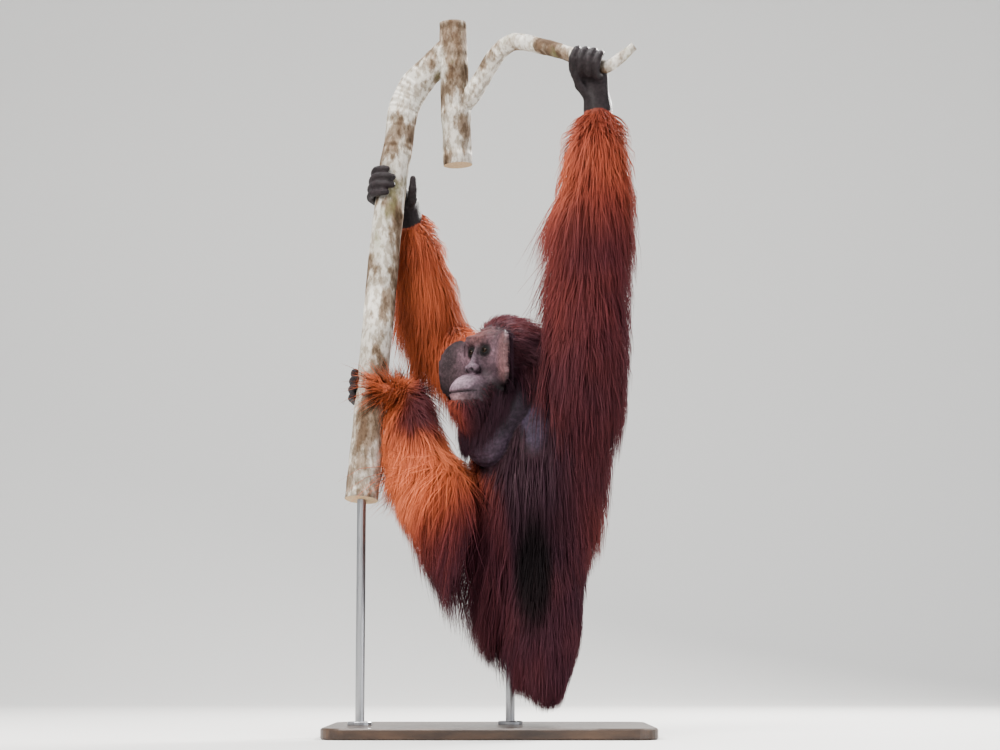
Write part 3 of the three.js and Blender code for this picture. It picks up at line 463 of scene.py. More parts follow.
def foot_left() -> list[Chain]:
    """Returns the free foot, hanging with its toes curled."""
    chains = [Chain([ANKLE_L + vec(0, -4, 30), vec(153, 136, 308), vec(152, 168, 262), vec(150, 176, 215)],
                    [0.036, 0.036, 0.028, 0.022], 0.02)]
    for i in range(4):
        x = 148 + (i - 1.5) * 23
        r = 0.0105 if i in (0, 3) else 0.0115
        chains.append(Chain([vec(151 + (i - 1.5) * 14, 172, 250), vec(x, 174, 190)], [0.016, r * 1.2], 0.006))
        curl = [vec(x, y, z) for y, z in ((176, 190), (168, 150), (142, 124), (112, 126), (98, 142))]
        chains.append(Chain(curl, [r * 1.1, r, r * 1.1, r, r * 0.85], 0.004))
    chains.append(Chain([vec(120, 158, 268), vec(100, 142, 244), vec(97, 118, 228), vec(102, 100, 222)],
                        [0.017, 0.014, 0.012, 0.010], 0.006))
    return chains


@dataclass
class Anatomy:
    """The flesh under the coat, as forms that blend into one skin."""

    face: Face = field(default_factory=Face)
    forms: list[Form] = field(default_factory=list)
    head_reach: float = 0.42
    beyond: float = 0.15

    def __post_init__(self) -> None:
        """Builds every form from the joints."""
        torso = [Barrel(CHEST + vec(2, 0, 42), (0.158, 0.138, 0.165)),
                 Barrel(vec(132, -4, 745), (0.158, 0.144, 0.175)), Barrel(BELLY, (0.150, 0.144, 0.165)),
                 Barrel(PELVIS, (0.130, 0.122, 0.140)), Barrel(RUMP, (0.092, 0.092, 0.090))]
        arm_l, arm_r = (SHOULDER_L, ELBOW_L), (SHOULDER_R, ELBOW_R)
        fore_l, fore_r = (ELBOW_L, WRIST_L), (ELBOW_R, WRIST_R)
        limbs = (
            (Part.NECK, [vec(64, -50, 985), vec(120, -20, 985), NECK], [0.088, 0.098, 0.105], 0.03),
            (Part.UPPER_ARM_L, [vec(210, -62, 910), SHOULDER_L, between(*arm_l, 0.45), ELBOW_L],
             [0.080, 0.082, 0.070, 0.056], 0.03),
            (Part.FOREARM_L, [ELBOW_L, between(*fore_l, 0.3), between(*fore_l, 0.65), WRIST_L],
             [0.056, 0.062, 0.053, 0.036], 0.03),
            (Part.UPPER_ARM_R, [vec(130, 60, 910), SHOULDER_R, between(*arm_r, 0.5), ELBOW_R],
             [0.080, 0.080, 0.068, 0.054], 0.03),
            (Part.FOREARM_R, [ELBOW_R, between(*fore_r, 0.35), between(*fore_r, 0.7), WRIST_R],
             [0.054, 0.060, 0.049, 0.034], 0.03),
            (Part.THIGH_R, [vec(130, 25, 510), HIP_R, between(HIP_R, KNEE_R, 0.5), KNEE_R],
             [0.090, 0.094, 0.084, 0.064], 0.04),
            (Part.SHIN_R, [KNEE_R, between(KNEE_R, ANKLE_R, 0.35) + vec(-10, 0, 0),
                           between(KNEE_R, ANKLE_R, 0.7) + vec(-8, 0, 0), ANKLE_R],
             [0.056, 0.048, 0.043, 0.035], 0.03),
            (Part.THIGH_L, [vec(143, -32, 515), HIP_L, between(HIP_L, KNEE_L, 0.5), KNEE_L],
             [0.080, 0.082, 0.072, 0.058], 0.04),
            (Part.SHIN_L, [KNEE_L, between(KNEE_L, ANKLE_L, 0.4), ANKLE_L], [0.060, 0.058, 0.037], 0.03),
        )
        self.forms = [
            Form(Part.TORSO, torso, 0.06),
            *(Form(part, [Chain(points, radii, blend)]) for part, points, radii, blend in limbs),
            Form(Part.HAND_L, hand_left(), 0.006),
            Form(Part.HAND_R, hand_right(), 0.006),
            Form(Part.FOOT_R, foot_right(), 0.006),
            Form(Part.FOOT_L, foot_left(), 0.006),
        ]

    def parts(self, p: Array) -> dict[Part, Array]:
        """Returns the distance of each point of p to each part."""
        found = {form.part: form.distance(p) for form in self.forms}
        q = to_head(p)
        near = np.linalg.norm(q - np.array([0.03, 0, -0.05]), axis=1) < self.head_reach
        shapes = {Part.HEAD: self.face.head, Part.FLANGE: self.face.flange, Part.SAC: self.face.sac}
        for part, shape in shapes.items():
            d = np.full(len(p), self.beyond)
            if near.any():
                d[near] = shape(q[near])
                if part is Part.HEAD:
                    d[near] = soft_min(d[near], self.face.ears(q[near]), 0.004)
            found[part] = d
        return found

    def nearest(self, p: Array) -> Array:
        """Returns the number of the part nearest to each point of p."""
        found = self.parts(p)
        return np.array([part.value for part in found])[np.argmin(np.stack(list(found.values())), axis=0)]

    def blend(self, found: dict[Part, Array]) -> Array:
        """Returns the distance to the whole skin from the distances to its parts."""
        d = soft_min(found[Part.TORSO], found[Part.NECK], 0.05)
        for upper, fore, hand in ((Part.UPPER_ARM_L, Part.FOREARM_L, Part.HAND_L),
                                  (Part.UPPER_ARM_R, Part.FOREARM_R, Part.HAND_R),
                                  (Part.THIGH_R, Part.SHIN_R, Part.FOOT_R),
                                  (Part.THIGH_L, Part.SHIN_L, Part.FOOT_L)):
            limb = soft_min(found[upper], found[fore], 0.02)
            limb = soft_min(limb, found[hand], 0.015)
            d = soft_min(d, limb, 0.02)
        d = soft_min(d, found[Part.HEAD], 0.012)
        d = soft_min(d, found[Part.SAC], 0.008)
        return soft_min(d, found[Part.FLANGE], 0.026)

    def distance(self, p: Array) -> Array:
        """Returns the distance of each point of p to the skin."""
        return self.blend(self.parts(p))

    def slope(self, p: Array, step: float = 0.0006) -> tuple[Array, Array]:
        """Returns the distance and its outward direction at each point of p."""
        ways = np.array([[1, 1, 1], [1, -1, -1], [-1, 1, -1], [-1, -1, 1]], float)
        values = [self.distance(p + w * step) for w in ways]
        slope = sum(v[:, None] * w for v, w in zip(values, ways))
        return sum(values) / 4, unit(slope)


def link(name: str, mesh: bpy.types.Mesh, material: bpy.types.Material | None = None) -> bpy.types.Object:
    """Returns a new object for a finished mesh, linked to the scene.

    Args:
        name: Name of the object and its mesh.
        mesh: The mesh, with its place in its vertices.
        material: Its only material, if it has one.

    Returns:
        The object, at the origin.
    """
    mesh.name = name
    piece = bpy.data.objects.new(name, mesh)
    bpy.context.scene.collection.objects.link(piece)
    if material is not None:
        mesh.materials.append(material)
    return piece


def baked(bm: bmesh.types.BMesh, name: str) -> bpy.types.Mesh:
    """Returns a new mesh with what bm holds, and frees bm."""
    mesh = bpy.data.meshes.new(name)
    bm.to_mesh(mesh)
    bm.free()
    return mesh


def smooth_faces(mesh: bpy.types.Mesh) -> None:
    """Sets every face of a mesh to smooth shading."""
    mesh.polygons.foreach_set("use_smooth", np.ones(len(mesh.polygons), bool))


def places(mesh: bpy.types.Mesh) -> Array:
    """Returns the places of a mesh's vertices, one a row."""
    co = np.zeros(len(mesh.vertices) * 3)
    mesh.vertices.foreach_get("co", co)
    return co.reshape(-1, 3)


def set_places(mesh: bpy.types.Mesh, co: Array) -> None:
    """Moves a mesh's vertices to the rows of co."""
    mesh.vertices.foreach_set("co", co.ravel())
    mesh.update()


def paint(mesh: bpy.types.Mesh, name: str, colours: Array) -> None:
    """Gives a mesh a colour attribute on its vertices, from linear colours one a row."""
    layer = mesh.color_attributes.new(name=name, type="FLOAT_COLOR", domain="POINT")
    rgba = np.ones((len(colours), 4), np.float32)
    rgba[:, :3] = colours
    layer.data.foreach_set("color", rgba.ravel())


def cell_corners(f: Array) -> list[tuple[int, int, int, Array]]:
    """Returns the eight corners of a lattice cell, each with its weight at the places f inside the cell."""
    return [(dx, dy, dz, ((f[:, 0] if dx else 1 - f[:, 0]) * (f[:, 1] if dy else 1 - f[:, 1])
                          * (f[:, 2] if dz else 1 - f[:, 2])))
            for dx in (0, 1) for dy in (0, 1) for dz in (0, 1)]


def noise(p: Array, scale: float, seed: int = 0) -> Array:
    """Returns smooth noise from -1 to 1 at each point of p.

    Args:
        p: Points in metres, one a row.
        scale: Size of a patch in metres.
        seed: Chooses the pattern.

    Returns:
        One value for each point.
    """
    q = p / scale + seed * 17.37
    cell = np.floor(q).astype(np.int64)
    f = q - cell
    f = f * f * (3 - 2 * f)
    total = np.zeros(len(p))
    for dx, dy, dz, weight in cell_corners(f):
        n = (cell[:, 0] + dx) * 73856093 ^ (cell[:, 1] + dy) * 19349663 ^ (cell[:, 2] + dz) * 83492791
        n = (n * 1103515245 + 12345) & 0x7FFFFFFF
        n = (n ^ (n >> 13)) * 1274126177 & 0x7FFFFFFF
        total += weight * (n / 0x3FFFFFFF - 1)
    return total


class Nodes:
    """A small helper that wires one material's shader nodes."""

    def __init__(self, name: str) -> None:
        """Starts a material with one Principled shader."""
        self.material = bpy.data.materials.new(name)
        self.material.use_nodes = True
        self.tree = self.material.node_tree
        self.shader = self.tree.nodes["Principled BSDF"]

    def add(self, kind: str, **settings: object) -> bpy.types.Node:
        """Returns a new node, with its properties and inputs set by name.

        Args:
            kind: Blender's name for the node type.
            settings: Properties, or inputs where no property has that name. An underscore stands for a space.

        Returns:
            The node.
        """
        node = self.tree.nodes.new(kind)
        for key, value in settings.items():
            if hasattr(node, key):
                setattr(node, key, value)
            else:
                node.inputs[key.replace("_", " ")].default_value = value
        return node

    def join(self, source: bpy.types.NodeSocket, target: bpy.types.NodeSocket) -> None:
        """Links one socket to another."""
        self.tree.links.new(source, target)

    def texture(self, scale: float, detail: float = 6.0, stretch: Triple = (1, 1, 1),
                rough: float = 0.55) -> bpy.types.NodeSocket:
        """Returns noise on Object coordinates, stretched along the axes."""
        cloud = self.add("ShaderNodeTexNoise", Scale=scale, Detail=detail, Roughness=rough)
        self.join(self.where(stretch), cloud.inputs["Vector"])
        return cloud.outputs["Fac"]

    def where(self, stretch: Triple = (1, 1, 1)) -> bpy.types.NodeSocket:
        """Returns Object coordinates, stretched along the axes."""
        mapping = self.add("ShaderNodeMapping")
        mapping.inputs["Scale"].default_value = stretch
        self.join(self.add("ShaderNodeTexCoord").outputs["Object"], mapping.inputs["Vector"])
        return mapping.outputs["Vector"]

    def creases(self, scale: float) -> bpy.types.NodeSocket:
        """Returns the distance to the edges of cells, as in creased skin."""
        cells = self.add("ShaderNodeTexVoronoi", feature="DISTANCE_TO_EDGE", Scale=scale)
        self.join(self.where(), cells.inputs["Vector"])
        return cells.outputs["Distance"]

    def ramp(self, value: bpy.types.NodeSocket, stops: list[tuple[float, Triple]]) -> bpy.types.NodeSocket:
        """Returns a colour that follows value through the stops."""
        node = self.add("ShaderNodeValToRGB")
        while len(node.color_ramp.elements) < len(stops):
            node.color_ramp.elements.new(0.5)
        for element, (place, colour) in zip(node.color_ramp.elements, stops):
            element.position = place
            element.color = (*colour, 1)
        self.join(value, node.inputs["Fac"])
        return node.outputs["Color"]

    def remap(self, value: bpy.types.NodeSocket, a: float, b: float, low: float,
              high: float) -> bpy.types.NodeSocket:
        """Returns value moved from the range a to b into low to high, and held there."""
        node = self.add("ShaderNodeMapRange")
        for key, number in zip(("From Min", "From Max", "To Min", "To Max"), (a, b, low, high)):
            node.inputs[key].default_value = number
        self.join(value, node.inputs["Value"])
        return node.outputs["Result"]

    def mix(self, a: object, b: object, share: object, blend: str = "MIX") -> bpy.types.NodeSocket:
        """Returns two colours mixed by share, each a socket or a colour."""
        node = self.add("ShaderNodeMix", data_type="RGBA", blend_type=blend)
        for socket, value in ((node.inputs[6], a), (node.inputs[7], b), (node.inputs[0], share)):
            self.give(socket, value)
        return node.outputs[2]

    def give(self, socket: bpy.types.NodeSocket, value: object) -> None:
        """Links value to a socket if it is one itself, and otherwise sets it as a number or a colour."""
        if isinstance(value, bpy.types.NodeSocket):
            self.join(value, socket)
        else:
            socket.default_value = value if isinstance(value, float) else (*value, 1)

    def colour(self, name: str) -> bpy.types.NodeSocket:
        """Returns a colour attribute of the mesh."""
        return self.add("ShaderNodeAttribute", attribute_name=name).outputs["Color"]

    def bump(self, height: bpy.types.NodeSocket, distance: float, strength: float = 1.0,
             under: bpy.types.NodeSocket | None = None) -> bpy.types.NodeSocket:
        """Returns a normal bumped by height, on top of another bump if there is one."""
        node = self.add("ShaderNodeBump", Strength=strength, Distance=distance)
        self.join(height, node.inputs["Height"])
        if under is not None:
            self.join(under, node.inputs["Normal"])
        return node.outputs["Normal"]

    def finish(self, colour: object, roughness: object, normal: bpy.types.NodeSocket | None = None,
               **plain: float) -> bpy.types.Material:
        """Sets the shader's inputs and returns the material.

        Args:
            colour: A socket or a linear colour.
            roughness: A socket or a number.
            normal: The bumped normal, if there is one.
            plain: Numbers for other inputs. An underscore stands for a space.

        Returns:
            The finished material.
        """
        self.give(self.shader.inputs["Base Color"], colour)
        self.give(self.shader.inputs["Roughness"], roughness)
        if normal is not None:
            self.join(normal, self.shader.inputs["Normal"])
        for key, value in plain.items():
            self.shader.inputs[key.replace("_", " ")].default_value = value
        return self.material


@dataclass(frozen=True)
class SkinFinish:
    """Bare skin, creased and a little greasy, painted by the attribute Tone, with painted shade darkening its
    creases.
    """

    crease: float = 300.0
    grain: float = 135.0
    pore: float = 900.0

    def material(self) -> bpy.types.Material:
        """Returns the material."""
        n = Nodes("bare_skin")
        tone = n.colour("Tone")
        mottle = n.texture(38, 5)
        fine = n.texture(self.pore, 4)
        patches = n.ramp(mottle, [(0.3, (0.45, 0.42, 0.42)), (0.7, (1.25, 1.2, 1.2))])
        colour = n.mix(tone, patches, 0.7, "MULTIPLY")
        grain = n.ramp(n.texture(self.grain, 3), [(0.36, (0.58, 0.56, 0.58)), (0.64, (1.48, 1.42, 1.46))])
        colour = n.mix(colour, grain, 0.75, "MULTIPLY")
        cell = n.creases(self.crease)
        deep = n.remap(cell, 0.0, 0.12, 0.0, 1.0)
        # Painted shade: the skin is darkened along its creases.
        crease_shade = n.ramp(deep, [(0.0, (0.72, 0.68, 0.68)), (0.7, (1.0, 1.0, 1.0))])
        pores = n.ramp(fine, [(0.40, (0.80, 0.78, 0.78)), (0.62, (1.22, 1.2, 1.22))])
        colour = n.mix(n.mix(colour, crease_shade, 0.5, "MULTIPLY"), pores, 0.6, "MULTIPLY")
        under = n.bump(deep, 0.0009, 0.7)
        normal = n.bump(fine, 0.0008, 0.6, under)
        rough = n.remap(mottle, 0.3, 0.7, 0.40, 0.58)
        return n.finish(colour, rough, normal, Specular_IOR_Level=0.28)


@dataclass(frozen=True)
class HairFinish:
    """Hair, painted tuft by tuft by the attribute Hair, with fine streaks."""

    streak: float = 900.0

    def material(self) -> bpy.types.Material:
        """Returns the material."""
        n = Nodes("hair")
        streaks = n.ramp(n.texture(self.streak, 2, (1, 1, 0.06), 0.6),
                         [(0.3, (0.82, 0.80, 0.78)), (0.7, (1.16, 1.14, 1.12))])
        colour = n.mix(n.colour("Hair"), streaks, 0.8, "MULTIPLY")
        return n.finish(colour, 0.66, None, Specular_IOR_Level=0.18)


@dataclass(frozen=True)
class BarkFinish:
    """Pale bark with brown patches, lichen and fine cracks."""

    pale: Triple = (0.50, 0.47, 0.42)
    brown: Triple = (0.115, 0.075, 0.048)

    def material(self) -> bpy.types.Material:
        """Returns the material."""
        n = Nodes("bark")
        patch = n.texture(14, 8, (1, 1, 0.45), 0.62)
        fleck = n.texture(70, 6, (1, 1, 0.5), 0.6)
        fine = n.texture(420, 5, (1, 1, 0.35))
        base = n.ramp(patch, [(0.38, self.brown), (0.47, (0.24, 0.19, 0.145)), (0.53, self.pale),
                              (0.72, (0.60, 0.58, 0.53))])
        flecks = n.ramp(fleck, [(0.42, (0.45, 0.40, 0.34)), (0.55, (1.0, 1.0, 1.0))])
        colour = n.mix(base, flecks, 0.75, "MULTIPLY")
        moss = n.remap(n.texture(9, 7, (1, 1, 0.6)), 0.60, 0.68, 0.0, 0.45)
        colour = n.mix(colour, (0.16, 0.17, 0.075), moss)
        under = n.bump(fleck, 0.004, 0.6)
        normal = n.bump(fine, 0.0015, 0.6, under)
        return n.finish(colour, n.remap(patch, 0.4, 0.6, 0.92, 0.7), normal, Specular_IOR_Level=0.3)


@dataclass(frozen=True)
class SawnFinish:
    """Sawn end grain."""

    def material(self) -> bpy.types.Material:
        """Returns the material."""
        n = Nodes("sawn_wood")
        grain = n.texture(260, 4)
        colour = n.ramp(grain, [(0.3, (0.33, 0.22, 0.12)), (0.7, (0.52, 0.39, 0.24))])
        return n.finish(colour, 0.8, n.bump(grain, 0.0006))


@dataclass(frozen=True)
class WoodFinish:
    """Dark stained wood for the base."""

    def material(self) -> bpy.types.Material:
        """Returns the material."""
        n = Nodes("stained_wood")
        grain = n.texture(26, 8, (0.25, 3.0, 1.0), 0.6)
        pore = n.texture(320, 3, (0.06, 1.0, 1.0))
        colour = n.ramp(grain, [(0.3, (0.020, 0.011, 0.007)), (0.55, (0.052, 0.028, 0.016)),
                                (0.75, (0.085, 0.047, 0.026))])
        rough = n.remap(pore, 0.3, 0.7, 0.32, 0.48)
        return n.finish(colour, rough, n.bump(pore, 0.0004, 0.4), Coat_Weight=0.25)


@dataclass(frozen=True)
class SteelFinish:
    """Satin steel for the rods."""

    def material(self) -> bpy.types.Material:
        """Returns the material."""
        n = Nodes("satin_steel")
        brush = n.texture(500, 3, (1, 1, 0.03))
        rough = n.remap(brush, 0.3, 0.7, 0.26, 0.42)
        return n.finish((0.42, 0.42, 0.43), rough, n.bump(brush, 0.0002, 0.3), Metallic=1.0)


@dataclass(frozen=True)
class EyeFinish:
    """A wet dark eye: brown iris, black pupil and dark white, by the distance from the line of sight."""

    def material(self) -> bpy.types.Material:
        """Returns the material."""
        n = Nodes("eye")
        rings = n.add("ShaderNodeAttribute", attribute_name="Sight").outputs["Fac"]
        colour = n.ramp(rings, [(0.0, (0.002, 0.002, 0.002)), (0.27, (0.004, 0.003, 0.002)),
                                (0.31, (0.030, 0.013, 0.006)), (0.50, (0.018, 0.008, 0.004)),
                                (0.57, (0.006, 0.004, 0.003)), (0.66, (0.020, 0.013, 0.011))])
        return n.finish(colour, 0.25, None, Specular_IOR_Level=0.12, Coat_Weight=0.02, Coat_Roughness=0.08)


@dataclass(frozen=True)
class FloorFinish:
    """The plain pale floor and backdrop of the studio."""

    shade: Triple = (0.74, 0.73, 0.71)

    def material(self) -> bpy.types.Material:
        """Returns the material."""
        return Nodes("studio_floor").finish(self.shade, 0.8)


def face_tone(q: Array) -> Array:
    """Returns the skin's colour on the head, flanges and sac, from points in the head's frame, with painted
    shade in the eye sockets, nostrils and mouth line and a painted highlight along the flanges' rims.

    Args:
        q: Points: forward, left and up.

    Returns:
        Linear colours, one a row.
    """
    f, l, u = q[:, 0], np.abs(q[:, 1]), q[:, 2]
    colour = np.tile(np.array([0.045, 0.030, 0.036]), (len(q), 1))

    def spot(place: Triple, size: Triple, shade: Triple) -> None:
        """Adds shade round a place, fading over size."""
        away = sum(((x - centre) / wide) ** 2 for x, centre, wide in zip((f, l, u), place, size))
        colour[:] = colour + np.exp(-away)[:, None] * np.array(shade)

    spot((0.150, 0.0, -0.070), (0.060, 0.042, 0.028), (0.225, 0.172, 0.205))
    spot((0.165, 0.0, -0.112), (0.040, 0.036, 0.016), (0.170, 0.110, 0.105))
    spot((0.090, 0.0, 0.070), (0.050, 0.055, 0.026), (0.120, 0.050, 0.040))
    spot((0.110, 0.0, -0.015), (0.030, 0.018, 0.028), (0.120, 0.092, 0.112))
    spot((0.085, 0.060, 0.010), (0.040, 0.030, 0.040), (0.120, 0.078, 0.090))
    near = q[:, 1] > 0
    out, reach, half, low = flange_size(near)
    across, height = (l - out) / reach, (u - low) / half
    g = np.hypot(across, height)
    front, beyond = smooth(f, 0.070, 0.092), smooth(across, -0.1, 0.3)
    flat = smooth(l, 0.060, 0.100) * front * near * smooth(1.0 - g, 0, 0.1)
    colour += flat[:, None] * np.array([0.110, 0.058, 0.052])
    # Painted highlight along the outer ridge of both flanges, faint low on the near flange and brightest at its
    # top.
    rim = np.exp(-(((g - 0.95) / np.where(near, 0.06, 0.04)) ** 2)) * smooth(f, 0.075, 0.090) * beyond
    rim *= np.where(near, 0.18 + 0.9 * smooth(height, 0.2, 0.8), 0.55)
    colour += rim[:, None] * np.array([0.23, 0.195, 0.205])
    far = smooth(-q[:, 1], 0.066, 0.105) * (1 - np.minimum(rim * 1.6, 1))
    colour += (far * front)[:, None] * np.array([0.048, 0.032, 0.034])
    colour *= (1 - 0.50 * smooth(-q[:, 1], 0.085, 0.120) * (1 - np.minimum(rim * 1.6, 1)))[:, None]
    mottle = noise(q, 0.005, 53) * smooth(l, 0.060, 0.085) + 0.4 * noise(q, 0.012, 59)
    colour *= np.clip(1 + 0.38 * mottle, 0.4, 1.7)[:, None]
    side = np.maximum(smooth(g, 0.98, 1.04), smooth(0.078 - f, 0.0, 0.015)) * smooth(across, -0.1, 0.1)
    colour *= (1 - 0.80 * side)[:, None]
    # Painted shade darkens the skin round each eye almost to black.
    socket = np.exp(-(((l - 0.031) / 0.0235) ** 2 + ((u - 0.0215) / 0.0180) ** 2) ** 3) * smooth(f, 0.05, 0.08)
    colour *= (1 - 0.97 * socket)[:, None]
    # Painted shade darkens the nostrils almost to black.
    nostril_shade = np.exp(-(((l - 0.0105) / 0.0060) ** 2 + ((u + 0.031) / 0.0052) ** 2) ** 2) * smooth(f, 0.09, 0.105)
    wing = np.exp(-(((l - 0.015) / 0.0100) ** 2 + ((u + 0.026) / 0.0100) ** 2)) * smooth(f, 0.09, 0.105)
    colour += wing[:, None] * np.array([0.10, 0.080, 0.098])
    colour *= (1 - 0.95 * nostril_shade)[:, None]
    # Painted shade along the line of the closed mouth.
    line = -0.097 + 0.006 * np.clip(l / 0.057, 0, 0.8) ** 2
    crease = np.exp(-(((u - line) / 0.0032) ** 2)) * smooth(f, 0.115, 0.135)
    colour *= (1 - 0.85 * crease)[:, None]
    jaw = smooth(-u, 0.045, 0.085) * smooth(l, 0.040, 0.058)
    chin = smooth(-u, 0.110, 0.122)
    colour = colour * (1 - 0.65 * np.maximum(jaw, 0.7 * chin)[:, None])
    return np.clip(colour, 0.005, 1)


# Balls that the coarse head is made of before it settles on the true one: centre and radii in the head's frame.
ROUGH_HEAD = (
    ((-0.015, 0, 0.024), (0.097, 0.080, 0.094)), ((0.038, 0, 0.014), (0.050, 0.070, 0.066)),
    ((0.010, 0, -0.075), (0.082, 0.074, 0.064)), ((0.090, 0, -0.092), (0.080, 0.053, 0.043)),
    ((0.088, 0, -0.124), (0.080, 0.051, 0.040)), ((0.112, 0, -0.078), (0.052, 0.045, 0.033)),
    ((0.0, 0, -0.112), (0.090, 0.106, 0.095)), ((0.044, -0.012, -0.200), (0.060, 0.074, 0.092)),
    ((0.078, 0, 0.055), (0.016, 0.056, 0.016)), ((0.072, 0.092, -0.006), (0.024, 0.058, 0.074)),
    ((0.078, -0.105, -0.018), (0.024, 0.070, 0.082)), ((0.102, 0, -0.024), (0.019, 0.022, 0.013)),
    ((0.098, 0, 0.002), (0.012, 0.010, 0.026)),
)


class Detail(Enum):
    """Which faces of the skin are split once more."""

    BARE = "face, flanges, sac, hands and feet"
    FACE = "face"
    EYES = "eyes and nose"


@dataclass
class Skin:
    """One closed skin over the whole body."""

    anatomy: Anatomy
    voxel: float = 0.0086
    margin: float = 0.006
    furthest_move: float = 0.012
    easing: float = 0.4
    name: str = "skin"

    def rough(self) -> bpy.types.Mesh:
        """Returns the joined bars and barrels of every form, remeshed into one coarse skin."""
        bm = bmesh.new()
        for form in self.anatomy.forms:
            for s in form.solids:
                if isinstance(s, Barrel):
                    frame = Matrix([[*BODY_LEFT], [*BODY_FRONT], [*UP]]).transposed().to_4x4()
                    place = Matrix.Translation(s.centre) @ frame @ Matrix.Diagonal((*s.radii, 1))
                    bmesh.ops.create_icosphere(bm, subdivisions=3, radius=1, matrix=place)
                    continue
                for a, b, ra, rb in s.bars():
                    steps = max(1, int(np.linalg.norm(b - a) / (0.5 * min(ra, rb))))
                    for t in np.linspace(0, 1, steps + 1):
                        place = Matrix.Translation(between(a, b, t))
                        bmesh.ops.create_icosphere(bm, subdivisions=2, radius=ra + (rb - ra) * t, matrix=place)
        turn = Matrix([[*HEAD_FORWARD], [*HEAD_LEFT], [*UP]]).transposed().to_4x4()
        for centre, radii in ROUGH_HEAD:
            place = Matrix.Translation(in_head(*centre)) @ turn @ Matrix.Diagonal((*radii, 1))
            bmesh.ops.create_icosphere(bm, subdivisions=3, radius=1, matrix=place)
        mesh = baked(bm, "rough")
        piece = link("rough", mesh)
        remesh = piece.modifiers.new("Remesh", "REMESH")
        remesh.mode = "VOXEL"
        remesh.voxel_size = self.voxel
        made = bpy.data.meshes.new_from_object(piece.evaluated_get(bpy.context.evaluated_depsgraph_get()))
        bpy.data.objects.remove(piece)
        bpy.data.meshes.remove(mesh)
        return made

    def settle(self, mesh: bpy.types.Mesh, passes: int) -> None:
        """Moves each vertex onto the skin, easing the mesh between passes.

        Args:
            mesh: The skin.
            passes: How often it is moved.
        """
        for k in range(passes):
            co = places(mesh)
            d, way = self.anatomy.slope(co)
            co = co - way * np.clip(d, -self.furthest_move, self.furthest_move)[:, None]
            set_places(mesh, co)
            if k < passes - 1:
                bm = bmesh.new()
                bm.from_mesh(mesh)
                bmesh.ops.smooth_vert(bm, verts=bm.verts, factor=self.easing, use_axis_x=True, use_axis_y=True,
                                      use_axis_z=True)
                bm.to_mesh(mesh)
                bm.free()

    def refine(self, mesh: bpy.types.Mesh, detail: Detail) -> None:
        """Splits the faces of the part of the skin that detail names.

        Args:
            mesh: The skin.
            detail: Which faces are split.
        """
        co = places(mesh)
        q = to_head(co)
        face = (q[:, 0] > 0.045) & (np.abs(q[:, 1]) < 0.075) & (q[:, 2] > -0.15) & (q[:, 2] < 0.10)
        face &= np.linalg.norm(q, axis=1) < 0.27
        if detail is Detail.EYES:
            face &= (q[:, 0] > 0.07) & (np.abs(q[:, 1]) < 0.052) & (np.abs(q[:, 2]) < 0.050)
        if detail is Detail.BARE:
            found = self.anatomy.parts(co)
            for part in (Part.HAND_L, Part.HAND_R, Part.FOOT_R, Part.FOOT_L, Part.FLANGE, Part.SAC):
                face |= found[part] < self.margin
        bm = bmesh.new()
        bm.from_mesh(mesh)
        edges = [e for e in bm.edges if face[e.verts[0].index] and face[e.verts[1].index]]
        bmesh.ops.subdivide_edges(bm, edges=edges, cuts=1, use_grid_fill=True)
        bmesh.ops.triangulate(bm, faces=[f for f in bm.faces if len(f.verts) > 4])
        bm.to_mesh(mesh)
        bm.free()

    def tone(self, co: Array) -> Array:
        """Returns the skin's colour: its own where it is bare, and the coat's, a little darker, under hair.

        Args:
            co: Places of the vertices.

        Returns:
            Linear colours, one a row.
        """
        part = self.anatomy.nearest(co)
        colour = np.tile(DUSK, (len(co), 1))
        for zone in ZONES:
            own = part == zone.value
            colour[own] = UNDER_HAIR * hair_tone(zone, co[own])
        bare = np.isin(part, [Part.HAND_L.value, Part.HAND_R.value, Part.FOOT_L.value])
        bare |= (part == Part.FOOT_R.value) & (co[:, 0] < sole_edge(co))
        colour[bare] = DARK_SKIN
        q = to_head(co)
        head = np.isin(part, [Part.HEAD.value, Part.FLANGE.value])
        colour[head] = face_tone(q[head])
        sac = part == Part.SAC.value
        covered = smooth(np.interp(co[sac, 2], *np.transpose(JOWL)) - co[sac, 0], -0.008, 0.012)
        low = smooth(0.83 - co[sac, 2], 0.0, 0.05)
        colour[sac] = SAC_SKIN * ((1 - 0.65 * covered) * (1 + 0.9 * low))[:, None]
        chest = np.isin(part, [Part.TORSO.value, Part.NECK.value, Part.UPPER_ARM_L.value])
        bare = (BARE_CHEST.inside(co) * chest)[:, None]
        colour = colour * (1 - bare) + CHEST_SKIN * bare
        return colour * (1 + 0.15 * noise(co, 0.03, 5))[:, None]

    def build(self, finish: SkinFinish) -> bpy.types.Object:
        """Returns the finished skin."""
        mesh = self.rough()
        self.settle(mesh, 4)
        for detail in Detail:
            self.refine(mesh, detail)
            self.settle(mesh, 2)
        paint(mesh, "Tone", self.tone(places(mesh)))
        smooth_faces(mesh)
        piece = link(self.name, mesh, finish.material())
        return piece


